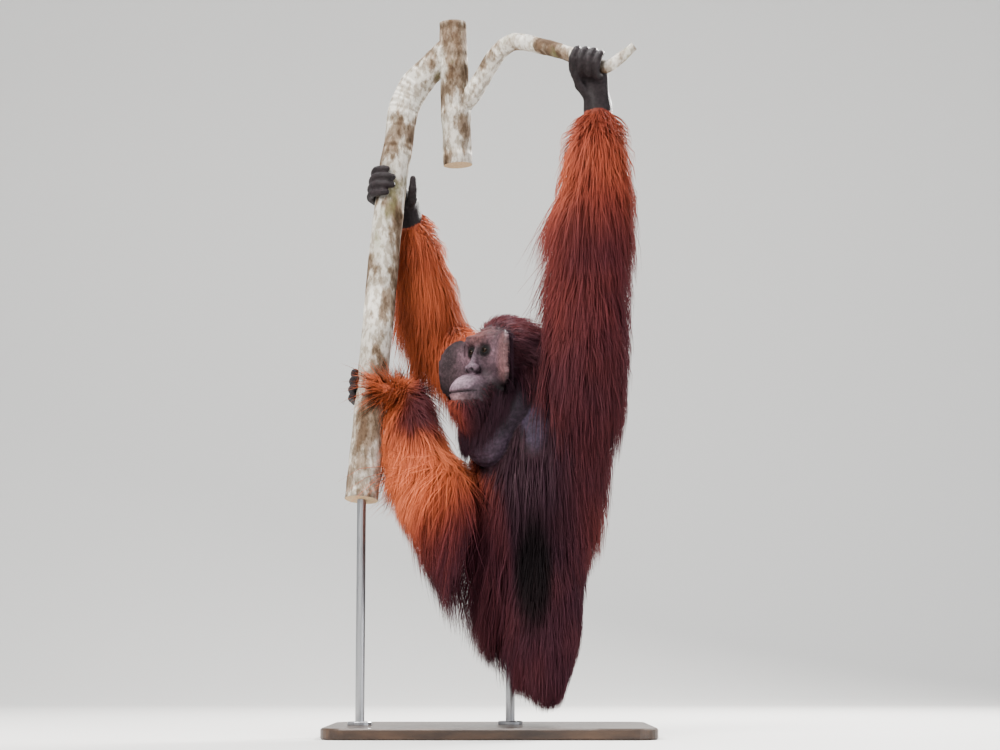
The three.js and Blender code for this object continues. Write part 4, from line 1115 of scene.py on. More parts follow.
@dataclass
class Eyes:
    """The two eyeballs."""

    radius: float = EYE_RADIUS

    def build(self, side: float, finish: EyeFinish) -> bpy.types.Object:
        """Returns one eye, looking a little down and towards the viewer."""
        centre = in_head(EYE_PLACE[0], side * EYE_PLACE[1], EYE_PLACE[2])
        sight = unit(HEAD_FORWARD + 0.10 * HEAD_LEFT + np.array([0, 0, 0.02]))
        bm = bmesh.new()
        bmesh.ops.create_icosphere(bm, subdivisions=5, radius=self.radius, matrix=Matrix.Translation(centre))
        for v in bm.verts:
            way = np.array(v.co) - centre
            lean = float(unit(way) @ sight)
            v.co = centre + way * (1 + 0.055 * float(smooth(np.array([lean]), 0.83, 1.0)[0]))
        mesh = baked(bm, "eye")
        co = places(mesh)
        angle = np.arccos(np.clip(unit(co - centre) @ sight, -1, 1))
        layer = mesh.attributes.new("Sight", "FLOAT", "POINT")
        layer.data.foreach_set("value", (angle / 1.1).astype(np.float32))
        smooth_faces(mesh)
        piece = link("eyeball_left" if side > 0 else "eyeball_right", mesh, finish.material())
        return piece


@dataclass(frozen=True)
class Locks:
    """How the hair of one zone grows."""

    name: str
    count: int
    length: float
    width: float
    lift: float
    fall: float
    depth: float
    rings: int = 3


# Linear colours of bare skin, and how bright the skin under hair is beside the hair.
DARK_SKIN = np.array([0.022, 0.017, 0.018])
SAC_SKIN = np.array([0.032, 0.022, 0.031])
CHEST_SKIN = np.array([0.052, 0.040, 0.064])
UNDER_HAIR = 0.75

# Linear colours that the coat is mixed from.
ORANGE = np.array([0.545, 0.155, 0.074])
RUST = np.array([0.225, 0.051, 0.034])
MAROON = np.array([0.074, 0.021, 0.031])
DUSK = np.array([0.024, 0.011, 0.019])
# A pale grey-pink painted sheen, mixed into the crown's hair and into streaks down the front of the torso.
PAINTED_SHEEN = np.array([0.150, 0.092, 0.108])

ZONES = {
    Part.TORSO: Locks("torso", 17000, 0.190, 0.0028, 0.25, 0.50, 0.034),
    Part.NECK: Locks("neck", 4200, 0.100, 0.0024, 0.30, 0.35, 0.028),
    Part.HEAD: Locks("head", 7500, 0.042, 0.0015, 0.30, 0.12, 0.014),
    Part.FLANGE: Locks("cheek_flange", 1700, 0.042, 0.0015, 0.25, 0.25, 0.010),
    Part.SAC: Locks("jowl", 3600, 0.060, 0.0017, 0.20, 0.40, 0.012),
    Part.UPPER_ARM_L: Locks("upper_arm_left", 8600, 0.180, 0.0026, 0.42, 0.50, 0.050),
    Part.FOREARM_L: Locks("forearm_left", 8200, 0.155, 0.0025, 0.40, 0.45, 0.046),
    Part.UPPER_ARM_R: Locks("upper_arm_right", 5400, 0.130, 0.0026, 0.30, 0.50, 0.026),
    Part.FOREARM_R: Locks("forearm_right", 6400, 0.130, 0.0025, 0.38, 0.45, 0.032),
    Part.THIGH_R: Locks("thigh_right", 11400, 0.225, 0.0027, 0.36, 0.36, 0.046),
    Part.SHIN_R: Locks("shin_right", 8000, 0.135, 0.0025, 0.42, 0.34, 0.040),
    Part.FOOT_R: Locks("foot_right", 1800, 0.085, 0.0020, 0.45, 0.22, 0.024),
    Part.THIGH_L: Locks("thigh_left", 6000, 0.210, 0.0028, 0.30, 0.50, 0.032),
    Part.SHIN_L: Locks("shin_left", 2800, 0.150, 0.0028, 0.30, 0.50, 0.026),
}

# Limits of the hanging hair: the height of its hem by X, and the X of its right side by height.
HEM = ((-0.268, 0.583), (-0.236, 0.532), (-0.199, 0.492), (-0.184, 0.435), (-0.147, 0.359), (-0.133, 0.309),
       (-0.105, 0.267), (-0.043, 0.192), (0.025, 0.160), (0.040, 0.104), (0.093, 0.098), (0.139, 0.058),
       (0.185, 0.078), (0.212, 0.154), (0.232, 0.234), (0.243, 0.314), (0.258, 0.395), (0.300, 0.450),
       (0.33, 0.50))
SIDE = ((0.06, 0.160), (0.145, 0.198), (0.253, 0.238), (0.384, 0.276), (0.435, 0.298), (0.506, 0.322),
        (0.716, 0.338), (0.83, 0.358), (0.907, 0.372), (1.15, 0.388), (1.55, 0.415))
# Limits of the hair towards the back, the viewer's left and the viewer.
BACK, LEFT, FRONT = 0.398, -0.445, -0.333

# Right edge, by height, of the raised thigh's hair where it crosses the belly.
THIGH_EDGE = ((0.364, 0.069), (0.471, 0.060), (0.589, 0.050), (0.645, 0.030), (0.702, -0.013), (0.729, -0.043),
              (0.764, -0.076), (0.80, -0.20))

# Furthest right that hair grows on the throat sac, by height. Beyond it the sac is bare.
JOWL = ((0.73, -0.10), (0.77, -0.05), (0.82, 0.02), (0.887, 0.068), (0.958, 0.090), (1.0, 0.10), (1.06, 0.115))

# How near the middle of the trunk hair may come.
TRUNK_CLEAR = 0.049

# Triangles in one piece of coat, the least share of its length that a tuft reaches, and tufts in a lock.
MOST_TRIANGLES = 190000
LEAST_CHORD = 0.72
LOCK_SIZE = 16


@dataclass(frozen=True)
class Patch:
    """An oval of the viewer's side of the body, upright and square to Y."""

    x: float
    z: float
    wide: float
    high: float
    nearer: float

    def inside(self, p: Array) -> Array:
        """Returns how far inside the patch each point is, from 0 outside to 1."""
        d = ((p[:, 0] - self.x) / self.wide) ** 2 + ((p[:, 2] - self.z) / self.high) ** 2
        return smooth(1.45 - d, 0.0, 1.0) * (p[:, 1] < self.nearer)


BARE_CHEST = Patch(0.124, 0.868, 0.040, 0.100, 0.02)
# Painted shade: the recess between the raised thigh and the belly.
SHADED_RECESS = Patch(0.118, 0.430, 0.050, 0.150, 0.02)


def sole_edge(p: Array) -> Array:
    """Returns the X at which the right foot's hair ends, further out on the viewer's side."""
    return np.where(p[:, 1] < 0.03, -0.325, -0.290)


def held(x: Array, limit: Array | float, share: float, side: int) -> Array:
    """Returns x with what lies past a limit drawn back to a share of its way past.

    Args:
        x: Places along one axis.
        limit: The limit, or one for each place.
        share: What is left of the way past the limit.
        side: 1 where x may not be more than the limit, and -1 where it may not be less.

    Returns:
        The places, drawn back.
    """
    return np.where(x * side > limit * side, limit + share * (x - limit), x)


def up_thigh(p: Array) -> Array:
    """Returns how far up the raised thigh each place is, from the knee."""
    return (p - KNEE_R) @ unit(HIP_R - KNEE_R)


def over_thigh(p: Array) -> Array:
    """Returns how far each place lies where the raised thigh's hair crosses the belly, from 0 to 1."""
    edge = np.interp(p[:, 2], *np.transpose(THIGH_EDGE))
    return smooth(edge - p[:, 0], -0.012, 0.014) * smooth(0.08 - p[:, 1], 0.0, 0.1)


def thigh_share(p: Array) -> Array:
    """Returns how orange the raised thigh's hair is at each place, paling from its low side to its top."""
    above = (p[:, 2] - 0.444) * 0.764 - (p[:, 0] + 0.244) * 0.645
    return np.interp(above, (-0.10, -0.03, 0.0, 0.06, 0.14), (0.02, 0.15, 0.35, 0.75, 0.98))


def hair_tone(part: Part, p: Array) -> Array:
    """Returns the colour of a part's hair at each place, with a painted sheen on the crown and down the front
    of the torso, and painted shade on the raised leg's inner side and in the recess beside the belly.
    """
    count = len(p)
    share, dark, sheen = np.zeros(count), np.zeros(count), np.zeros(count)
    x, z = p[:, 0], p[:, 2]
    if part in (Part.FOREARM_L, Part.UPPER_ARM_L):
        share = 0.12 + 0.46 * smooth(z, 1.28, 1.56) + 0.16 * smooth(0.26 - x, 0.0, 0.09) * smooth(z, 1.0, 1.25)
        dark = 0.30 * smooth(1.15 - z, 0.0, 0.25)
    elif part in (Part.FOREARM_R, Part.UPPER_ARM_R):
        share = 0.80 - 0.25 * smooth(0.98 - z, 0.0, 0.10) - 0.50 * smooth(x, -0.06, 0.10)
    elif part in (Part.SHIN_R, Part.FOOT_R, Part.THIGH_R):
        upper = smooth(z + 0.02 * noise(p, 0.02, 67), 0.745, 0.865)
        # Painted shade makes the inner side of the raised leg's upper end darker and less orange.
        inner = smooth(x - 0.4 * (z - 0.88), -0.275, -0.215) * upper
        share = (thigh_share(p) + 0.16 * noise(p, 0.017, 61)) * (1 - upper) + (0.95 - 0.78 * inner) * upper
        dark = 0.25 * inner + 0.35 * smooth(0.10 - share, 0.0, 0.08) * (1 - upper)
    elif part is Part.HEAD:
        q = to_head(p)
        beard = smooth(q[:, 0], 0.02, 0.05) * smooth(-q[:, 2], 0.05, 0.08)
        share = 0.12 + beard * (0.06 + 0.42 * smooth(q[:, 0] - np.abs(q[:, 1]), 0.11, 0.17))
        dark = 0.80 * beard * smooth(0.15 - q[:, 0] + 0.5 * q[:, 1], 0.0, 0.06)
        dark += 0.70 * (1 - beard) * smooth(0.09 - q[:, 2], 0.0, 0.05)
        # A painted sheen in patches on the crown.
        sheen = 0.60 * (1 - beard) * smooth(q[:, 2], 0.03, 0.09) * smooth(noise(q, 0.012, 47), -0.3, 0.5)
    elif part in (Part.SAC, Part.FLANGE):
        dark[:] = 0.80
    elif part is Part.TORSO:
        side = smooth(x, 0.14, 0.27)
        # Pale streaks of painted sheen down the front of the chest and belly.
        streaks = smooth(noise(p * np.array([1, 1, 0.12]), 0.011, 43), -0.1, 0.7)
        sheen = 0.45 * streaks * (1 - side) * smooth(z, 0.55, 0.75)
        share = 0.10 * side + 0.02 * smooth(0.30 - z, 0.0, 0.2)
        share += 0.25 * smooth(x, 0.25, 0.31) * smooth(0.66 - z, 0.0, 0.15)
        dark = 0.80 - 0.55 * side - 0.15 * smooth(0.30 - z, 0.0, 0.2)
        thigh = over_thigh(p)
        share = share + (thigh_share(p) - share) * thigh
        dark, sheen = dark * (1 - 0.75 * thigh), sheen * (1 - thigh)
    elif part is Part.NECK:
        share[:], dark[:] = 0.06, 0.35
    else:
        share[:] = 0.03
        dark = 0.30 + 0.15 * smooth(z, 0.2, 0.35)
    share = np.clip(share + 0.10 * noise(p, 0.05, 31), 0, 1)
    tone = MAROON + (RUST - MAROON) * np.clip(share * 2, 0, 1)[:, None]
    tone = tone + (ORANGE - tone) * np.clip(share * 2 - 1, 0, 1)[:, None]
    tone = tone + (DUSK - tone) * np.clip(dark, 0, 1)[:, None]
    tone = tone + (PAINTED_SHEEN - tone) * sheen[:, None]
    # Hair in the recess between the raised thigh and the belly is darkened as painted shade.
    return tone * (1 - 0.85 * SHADED_RECESS.inside(p))[:, None]


@dataclass
class Grid:
    """Distances to the skin on a lattice, for quick reading by the hair."""

    anatomy: Anatomy
    step: float = 0.012
    low: Array = field(default_factory=lambda: vec(-460, -400, 0))
    high: Array = field(default_factory=lambda: vec(520, 440, 2060))
    batch: int = 120000

    def __post_init__(self) -> None:
        """Fills the lattice."""
        axes = [np.arange(a, b, self.step) for a, b in zip(self.low, self.high)]
        mesh = np.stack(np.meshgrid(*axes, indexing="ij"), axis=-1)
        self.shape = mesh.shape[:3]
        flat = mesh.reshape(-1, 3)
        out = np.empty(len(flat))
        for i in range(0, len(flat), self.batch):
            out[i:i + self.batch] = self.anatomy.distance(flat[i:i + self.batch])
        self.values = out.reshape(self.shape)

    def read(self, p: Array) -> Array:
        """Returns the distance at each point of p, read between the lattice's points."""
        q = (p - self.low) / self.step
        q = np.clip(q, 0, np.array(self.shape) - 1.001)
        cell = q.astype(np.int64)
        f = q - cell
        total = np.zeros(len(p))
        for dx, dy, dz, weight in cell_corners(f):
            total += weight * self.values[cell[:, 0] + dx, cell[:, 1] + dy, cell[:, 2] + dz]
        return total

    def way(self, p: Array) -> Array:
        """Returns the outward direction at each point of p."""
        h = 0.006
        return unit(np.stack([self.read(p + side) - self.read(p - side) for side in np.eye(3) * h], axis=1))


@dataclass
class Coat:
    """The whole coat: tapered tufts that grow from the skin."""

    anatomy: Anatomy
    grid: Grid
    skin: bpy.types.Mesh
    share: float = 1.0
    chance: np.random.Generator = field(default_factory=lambda: np.random.default_rng(SEED))

    def roots(self) -> None:
        """Reads the skin's triangles, and the part of each."""
        self.skin.calc_loop_triangles()
        co = places(self.skin)
        index = np.zeros(len(self.skin.loop_triangles) * 3, np.int32)
        self.skin.loop_triangles.foreach_get("vertices", index)
        self.corners = co[index.reshape(-1, 3)]
        a, b, c = self.corners[:, 0], self.corners[:, 1], self.corners[:, 2]
        across = np.cross(b - a, c - a)
        self.areas = np.linalg.norm(across, axis=1) / 2
        self.facing = unit(across)
        self.centre = self.corners.mean(1)
        self.part = self.anatomy.nearest(self.centre)

    def cover(self, part: Part) -> Array:
        """Returns how thickly hair grows on each triangle of a part, from 0 on bare skin to 1."""
        own = (self.part == part.value).astype(float)
        q = to_head(self.centre)
        f, l, u = q[:, 0], np.abs(q[:, 1]), q[:, 2]
        if part is Part.HEAD:
            crown = smooth(u - 0.5 * f, 0.055, 0.075)
            back = smooth(-f, -0.062, -0.038) * smooth(l, 0.066, 0.074) + smooth(-f, -0.030, -0.005)
            chin = 1.3 * smooth(-u, 0.110, 0.121) * smooth(0.085 - l, 0.0, 0.02)
            jaw = 0.9 * smooth(-u, 0.060, 0.090) * smooth(l, 0.042, 0.056) * smooth(-f, -0.125, -0.095)
            own *= np.clip(crown + back + chin + jaw, 0, 1.3)
        if part is Part.FLANGE:
            turned = np.where(q[:, 1] > 0, 0.15, -0.5) - self.facing @ HEAD_FORWARD
            own *= smooth(turned, 0.0, 0.2) * smooth(l, 0.06, 0.08)
        if part is Part.SAC:
            limit = np.interp(self.centre[:, 2] - 0.02, *np.transpose(JOWL))
            own *= smooth(limit - self.centre[:, 0], 0.0, 0.02) * smooth(u, -0.25, -0.19)
        if part is Part.FOOT_R:
            own *= smooth(self.centre[:, 0] - sole_edge(self.centre), 0.0, 0.022)
        if part is Part.TORSO:
            front = (self.centre - CHEST) @ BODY_FRONT
            bare = smooth(front, 0.08, 0.13) * smooth(self.centre[:, 2], 0.72, 0.80)
            own *= 1 - 0.5 * bare
        return own * (1 - 0.9 * BARE_CHEST.inside(self.centre))

    def sample(self, part: Part, count: int) -> tuple[Array, Array]:
        """Returns roots on a part, with the skin's outward direction at each.

        Args:
            part: Part that the hair grows on.
            count: Number of roots.

        Returns:
            Roots and directions, and none of either where the part is bare.
        """
        weight = self.areas * self.cover(part)
        total = weight.sum()
        if total <= 0:
            return np.zeros((0, 3)), np.zeros((0, 3))
        pick = self.chance.choice(len(weight), count, p=weight / total)
        r = self.chance.random((count, 2))
        flip = r.sum(1) > 1
        r[flip] = 1 - r[flip]
        tri = self.corners[pick]
        p = tri[:, 0] + r[:, :1] * (tri[:, 1] - tri[:, 0]) + r[:, 1:] * (tri[:, 2] - tri[:, 0])
        return p, self.facing[pick]

    def lie(self, part: Part, p: Array) -> Array:
        """Returns the direction that hair lies in at each root, before it falls."""
        ways = {
            Part.UPPER_ARM_L: SHOULDER_L - ELBOW_L, Part.FOREARM_L: ELBOW_L - WRIST_L,
            Part.UPPER_ARM_R: SHOULDER_R - ELBOW_R, Part.FOREARM_R: ELBOW_R - WRIST_R,
            Part.SHIN_R: KNEE_R - ANKLE_R, Part.THIGH_L: KNEE_L - HIP_L,
        }
        way = np.tile(unit(ways.get(part, DOWN)), (len(p), 1))
        ankle = (p - vec(-270, 0, 900)) * np.array([1.0, 0.2, 1.0]) / 0.085
        ankle = ankle / np.maximum(np.linalg.norm(ankle, axis=1, keepdims=True), 1.0)
        if part is Part.TORSO:
            way = unit(way - np.array([1.4, 0.0, 0.0]) * over_thigh(p)[:, None])
        if part is Part.THIGH_R:
            near = smooth(up_thigh(p), 0.05, 0.20)[:, None]
            along = (0.35 + 0.45 * near) * unit(KNEE_R - HIP_R)
            way = unit(along + 0.25 * BODY_FRONT + (1.0 - 0.5 * near) * DOWN)
        if part is Part.SHIN_R:
            t = smooth(p[:, 2], 0.72, 0.90)[:, None]
            top = smooth(p[:, 2], 0.90, 0.97)[:, None]
            way = unit(way * (1 - t) + (ankle + np.array([-0.45, -0.35, -0.35])) * t + 0.30 * top * ankle)
        if part is Part.FOOT_R:
            way = unit(ankle + np.array([-0.45, -0.35, -0.35]) * smooth(0.97 - p[:, 2], 0.0, 0.06)[:, None])
        if part is Part.HEAD:
            q = to_head(p)
            back = np.where(q[:, 2:] > -0.02, -HEAD_FORWARD + 0.25 * DOWN, DOWN - 0.3 * HEAD_FORWARD)
            side = HEAD_LEFT * (q[:, 1] / 0.08)[:, None]
            way = unit(back + 0.35 * side)
        if part is Part.NECK:
            way = unit(DOWN + 0.35 * (p - (HEAD + NECK) / 2))
        if part is Part.FLANGE:
            way = np.tile(unit(DOWN - 0.5 * HEAD_FORWARD), (len(p), 1))
        if part is Part.SAC:
            way = np.tile(unit(DOWN + 0.45 * HEAD_FORWARD), (len(p), 1))
        return way

    def lengths(self, part: Part, p: Array, base: float) -> Array:
        """Returns the length of hair at each root."""
        scale = np.ones(len(p))
        shorter = {
            Part.FOREARM_L: (ELBOW_L, WRIST_L, 1.15, 0.75, 0.55),
            Part.FOREARM_R: (ELBOW_R, WRIST_R, 1.1, 0.75, 0.55),
            Part.SHIN_R: (KNEE_R, ANKLE_R, 1.1, 0.25, 0.6),
        }
        if part in shorter:
            near, far, most, less, start = shorter[part]
            t = (p[:, 2] - near[2]) / (far[2] - near[2])
            scale = most - less * smooth(t, start, 1.0)
        if part is Part.HEAD:
            q = to_head(p)
            scale = 0.75 + 1.6 * smooth(-q[:, 0], -0.01, 0.05) + 0.3 * smooth(-q[:, 2], 0.06, 0.1)
            beard = 0.35 + 1.6 * smooth(-q[:, 2], 0.118, 0.155) * smooth(q[:, 0] - 0.5 * q[:, 1], 0.04, 0.12)
            scale = np.where((q[:, 0] > 0.03) & (q[:, 2] < -0.05), beard, scale)
        if part is Part.UPPER_ARM_R:
            scale = 1 + 0.6 * smooth(p[:, 0], -0.12, 0.02)
        if part is Part.THIGH_R:
            scale = 1.10 + 0.85 * smooth(up_thigh(p), 0.05, 0.22)
        if part is Part.TORSO:
            scale = 1 + 0.70 * over_thigh(p)
        if part is Part.THIGH_L:
            scale = 0.9 + 0.40 * smooth(-p[:, 2], -0.35, -0.2)
        vary = 1 + 0.22 * self.chance.standard_normal(len(p)).clip(-2, 2)
        return base * scale * (1 + 0.25 * noise(p, 0.06, 3)) * vary

    def brush(self, part: Part, p: Array, n: Array) -> Array:
        """Returns how far hair stands off the raised elbow's inner side and the thigh's top, from 0 to 1."""
        if part is Part.THIGH_R:
            return 0.5 * smooth(n[:, 2], 0.3, 0.8) * smooth(up_thigh(p), 0.12, 0.22)
        if part not in (Part.UPPER_ARM_L, Part.FOREARM_L):
            return np.zeros(len(p))
        return smooth(-n[:, 0], 0.1, 0.6) * smooth(p[:, 2], 1.20, 1.34) * smooth(-p[:, 2], -1.62, -1.50)

    def off_trunk(self, at: Array) -> Array:
        """Returns points moved out of the trunk."""
        for a, b in zip(TRUNK_PATH[:-1], TRUNK_PATH[1:]):
            t = np.clip((at - a) @ (b - a) / ((b - a) @ (b - a)), 0, 1)
            away = at - a - t[:, None] * (b - a)
            far = np.linalg.norm(away, axis=1, keepdims=True)
            at = at + away / np.maximum(far, 1e-6) * np.maximum(TRUNK_CLEAR - far, 0)
        return at

    def paths(self, part: Part, locks: Locks, p: Array, n: Array, length: Array) -> Array:
        """Returns the line of each tuft, as points from root to tip.

        Args:
            part: Part that the hair grows on.
            locks: How the hair of that part grows.
            p: Roots.
            n: Outward directions at the roots.
            length: Length of each tuft.

        Returns:
            An array of tufts, points along each, and coordinates.
        """
        count, steps = len(p), locks.rings
        lie = self.lie(part, p)
        lie = unit(lie - n * (lie * n).sum(1, keepdims=True) + 1e-6)
        loose = np.where(self.chance.random(count) < 0.08, 1.5, 1.0)[:, None]
        wild = self.chance.standard_normal((count, 3)) * 0.11 * loose
        lift = locks.lift + 0.50 * self.brush(part, p, n)[:, None]
        way = unit(lie * np.cos(lift) + n * np.sin(lift) + wild)
        layer = self.chance.random(count) ** 1.5 * locks.depth
        line = np.empty((count, steps + 1, 3))
        line[:, 0] = p - n * 0.004
        stray = 0.016 * noise(p, 0.05, 37) + 0.022 * (self.chance.random(count) - 0.6)
        at = p.copy()
        wave = self.chance.standard_normal((count, 3)) * 0.055 * loose
        for k in range(1, steps + 1):
            t = k / steps
            way = unit(way * (1 - locks.fall) + DOWN * locks.fall + wave * (0.5 + t))
            at = at + way * (length / steps)[:, None]
            want = 0.004 + layer * min(1.0, 1.6 * t)
            gap = self.grid.read(at)
            short = gap < want
            if short.any():
                at[short] += self.grid.way(at[short]) * (want - gap)[short, None]
            most = np.interp(at[:, 2], *np.transpose(SIDE)) + stray
            at[:, 0] = held(at[:, 0], most, 0.30, 1)
            at[:, 1] = held(at[:, 1], BACK, 0.25, 1)
            at[:, 1] = held(at[:, 1], FRONT, 0.25, -1)
            at[:, 0] = held(at[:, 0], LEFT, 0.25, -1)
            at = self.off_trunk(at)
            line[:, k] = at
        hem = np.interp(line[:, -1, 0], *np.transpose(HEM)) + 0.055 * self.chance.random(count) ** 2
        tip = line[:, -1, 2]
        reach = np.where(tip < hem, (line[:, 0, 2] - hem) / np.maximum(line[:, 0, 2] - tip, 1e-3), 1.0)
        return self.shortened(line, np.clip(reach, 0.12, 1.0))

    def shortened(self, line: Array, reach: Array) -> Array:
        """Returns each line cut to a share of its length, with as many points as before."""
        steps = line.shape[1] - 1
        short = np.empty_like(line)
        for k in range(steps + 1):
            place = reach * k
            low = np.minimum(place.astype(int), steps - 1)
            part = (place - low)[:, None]
            rows = np.arange(len(line))
            short[:, k] = line[rows, low] * (1 - part) + line[rows, low + 1] * part
        return short

    def gather(self, line: Array, size: int) -> Array:
        """Returns the tufts drawn together into pointed locks of about size tufts each."""
        count, steps = line.shape[:2]
        if count < size * 2:
            return line
        guides = self.chance.choice(count, max(2, count // size), replace=False)
        tree = KDTree(len(guides))
        for i, g in enumerate(guides):
            tree.insert(line[g, 0] * 0.6 + line[g, steps // 2] * 0.4, i)
        tree.balance()
        key = line[:, 0] * 0.6 + line[:, steps // 2] * 0.4
        lead = guides[np.array([tree.find(Vector(k))[1] for k in key])]
        t = np.linspace(0, 1, steps)[None, :, None]
        hold = 0.42 * t**1.5 * (0.3 + 0.7 * self.chance.random((count, 1, 1)))
        return line * (1 - hold) + line[lead] * hold

    def tufts(self, name: str, line: Array, out: Array, width: Array, tone: Array,
              finish: bpy.types.Material) -> bpy.types.Object:
        """Returns one mesh of closed three-sided tufts.

        Args:
            name: Name of the piece.
            line: Line of each tuft.
            out: Outward direction of the skin under each.
            width: Width of each tuft at its root.
            tone: Colour at each point of each line.
            finish: The hair's material.

        Returns:
            The piece.
        """
        count, points = line.shape[:2]
        rings = points - 1
        along = unit(np.gradient(line, axis=1))
        turn = self.chance.random(count) * 2 * math.pi
        some = unit(np.cross(along, np.stack([np.cos(turn), np.sin(turn), 0.3 + 0 * turn], axis=1)[:, None, :]))
        other = np.cross(along, some)
        t = np.linspace(0, 1, points)
        taper = (1 - t) ** 0.8
        radius = width[:, None] * 0.5 * taper[None, :]
        verts = np.empty((count, rings * 3 + 1, 3))
        normals = np.empty_like(verts)
        flat = out[:, None] - along * (along * out[:, None]).sum(2, keepdims=True)
        for k in range(rings):
            for j in range(3):
                a = 2 * math.pi * j / 3
                offset = some[:, k] * math.cos(a) * 1.25 + other[:, k] * math.sin(a) * 0.8
                verts[:, k * 3 + j] = line[:, k] + offset * radius[:, k, None]
                normals[:, k * 3 + j] = 0.9 * flat[:, k] + 0.5 * offset
        verts[:, -1], normals[:, -1] = line[:, -1], flat[:, -1] + 0.2 * some[:, -1]
        faces = [(2, 1, 0)]
        for k in range(rings - 1):
            for j in range(3):
                a, b = k * 3 + j, k * 3 + (j + 1) % 3
                faces += [(a, b, b + 3), (a, b + 3, a + 3)]
        last = (rings - 1) * 3
        faces += [(last + j, last + (j + 1) % 3, last + 3) for j in range(3)]
        pattern = np.array(faces, np.int64)
        per = rings * 3 + 1
        index = (pattern[None] + (np.arange(count) * per)[:, None, None]).reshape(-1, 3)
        mesh = bpy.data.meshes.new(name)
        mesh.vertices.add(count * per)
        mesh.vertices.foreach_set("co", verts.reshape(-1).astype(np.float32))
        mesh.loops.add(index.size)
        mesh.loops.foreach_set("vertex_index", index.reshape(-1).astype(np.int32))
        mesh.polygons.add(len(index))
        mesh.polygons.foreach_set("loop_start", (np.arange(len(index)) * 3).astype(np.int32))
        mesh.update(calc_edges=True)
        height = np.concatenate([np.repeat(t[:rings], 3), [1.0]])
        ring = np.concatenate([np.repeat(np.arange(rings), 3), [rings]])
        # Each tuft is painted darker at its root than at its tip: painted shade deep in the coat.
        colours = tone[:, ring] * (0.80 + 0.24 * height)[None, :, None]
        paint(mesh, "Hair", colours.reshape(-1, 3))
        self.unwrap(mesh, line[:, 0], index, per, height)
        smooth_faces(mesh)
        mesh.normals_split_custom_set_from_vertices(unit(normals.reshape(-1, 3)))
        return link(name, mesh, finish)

    def unwrap(self, mesh: bpy.types.Mesh, root: Array, index: Array, per: int, height: Array) -> None:
        """Lays each tuft as a small patch at its root's place on an unwrap of the skin."""
        from_middle = root - root.mean(0)
        axes = np.linalg.svd(from_middle[::7], full_matrices=False)[2]
        v = from_middle @ axes[0]
        v = (v - v.min()) / (v.max() - v.min())
        u = 0.5 + np.arctan2(from_middle @ axes[2], from_middle @ axes[1]) / (2 * math.pi)
        layer = mesh.uv_layers.new(name="OFBake")
        tuft, vert = index // per, index % per
        side = np.where(vert == per - 1, 1, vert % 3)
        uv = np.empty((*index.shape, 2))
        uv[..., 0] = 0.004 + 0.990 * u[tuft] + 0.0015 * side
        uv[..., 1] = 0.004 + 0.990 * v[tuft] + 0.003 * height[vert]
        layer.data.foreach_set("uv", uv.reshape(-1).astype(np.float32))

    def build(self, finish: bpy.types.Material) -> list[bpy.types.Object]:
        """Returns the coat's pieces, one or two for each part."""
        self.roots()
        pieces = []
        for part, locks in ZONES.items():
            p, n = self.sample(part, int(locks.count * self.share))
            if not len(p):
                continue
            length = self.lengths(part, p, locks.length) * (1 + 0.35 * self.brush(part, p, n))
            line = self.gather(self.paths(part, locks, p, n, length), LOCK_SIZE)
            chord = np.linalg.norm(line[:, -1] - line[:, 0], axis=1)
            whole = np.linalg.norm(np.diff(line, axis=1), axis=2).sum(1)
            kept = chord > LEAST_CHORD * whole
            if part not in (Part.HEAD, Part.SAC, Part.FLANGE):
                over = BARE_CHEST.inside(line.reshape(-1, 3)).reshape(line.shape[:2]).max(1)
                kept &= (over < 0.35) | (self.chance.random(len(line)) < 0.30)
            line, n = line[kept], n[kept]
            count = len(line)
            width = locks.width * (0.6 + 0.7 * self.chance.random(count))
            vary = 1 + 0.14 * noise(line[:, 0], 0.035, 9)
            vary = vary + 0.10 * self.chance.standard_normal(count).clip(-2, 2)
            tone = hair_tone(part, line.reshape(-1, 3)).reshape(line.shape) * vary[:, None, None]
            most = MOST_TRIANGLES // (locks.rings * 6 - 2)
            halves = max(1, math.ceil(count / most))
            order = np.argsort((line[:, 0] - NECK) @ BODY_LEFT)
            for i, chosen in enumerate(np.array_split(order, halves)):
                name = f"coat_{locks.name}" + (f"_{i + 1}" if halves > 1 else "")
                piece = self.tufts(name, line[chosen], n[chosen], width[chosen], tone[chosen], finish)
                pieces.append(piece)
            LOG.info("coat of %s: %d tufts", locks.name, count)
        return pieces


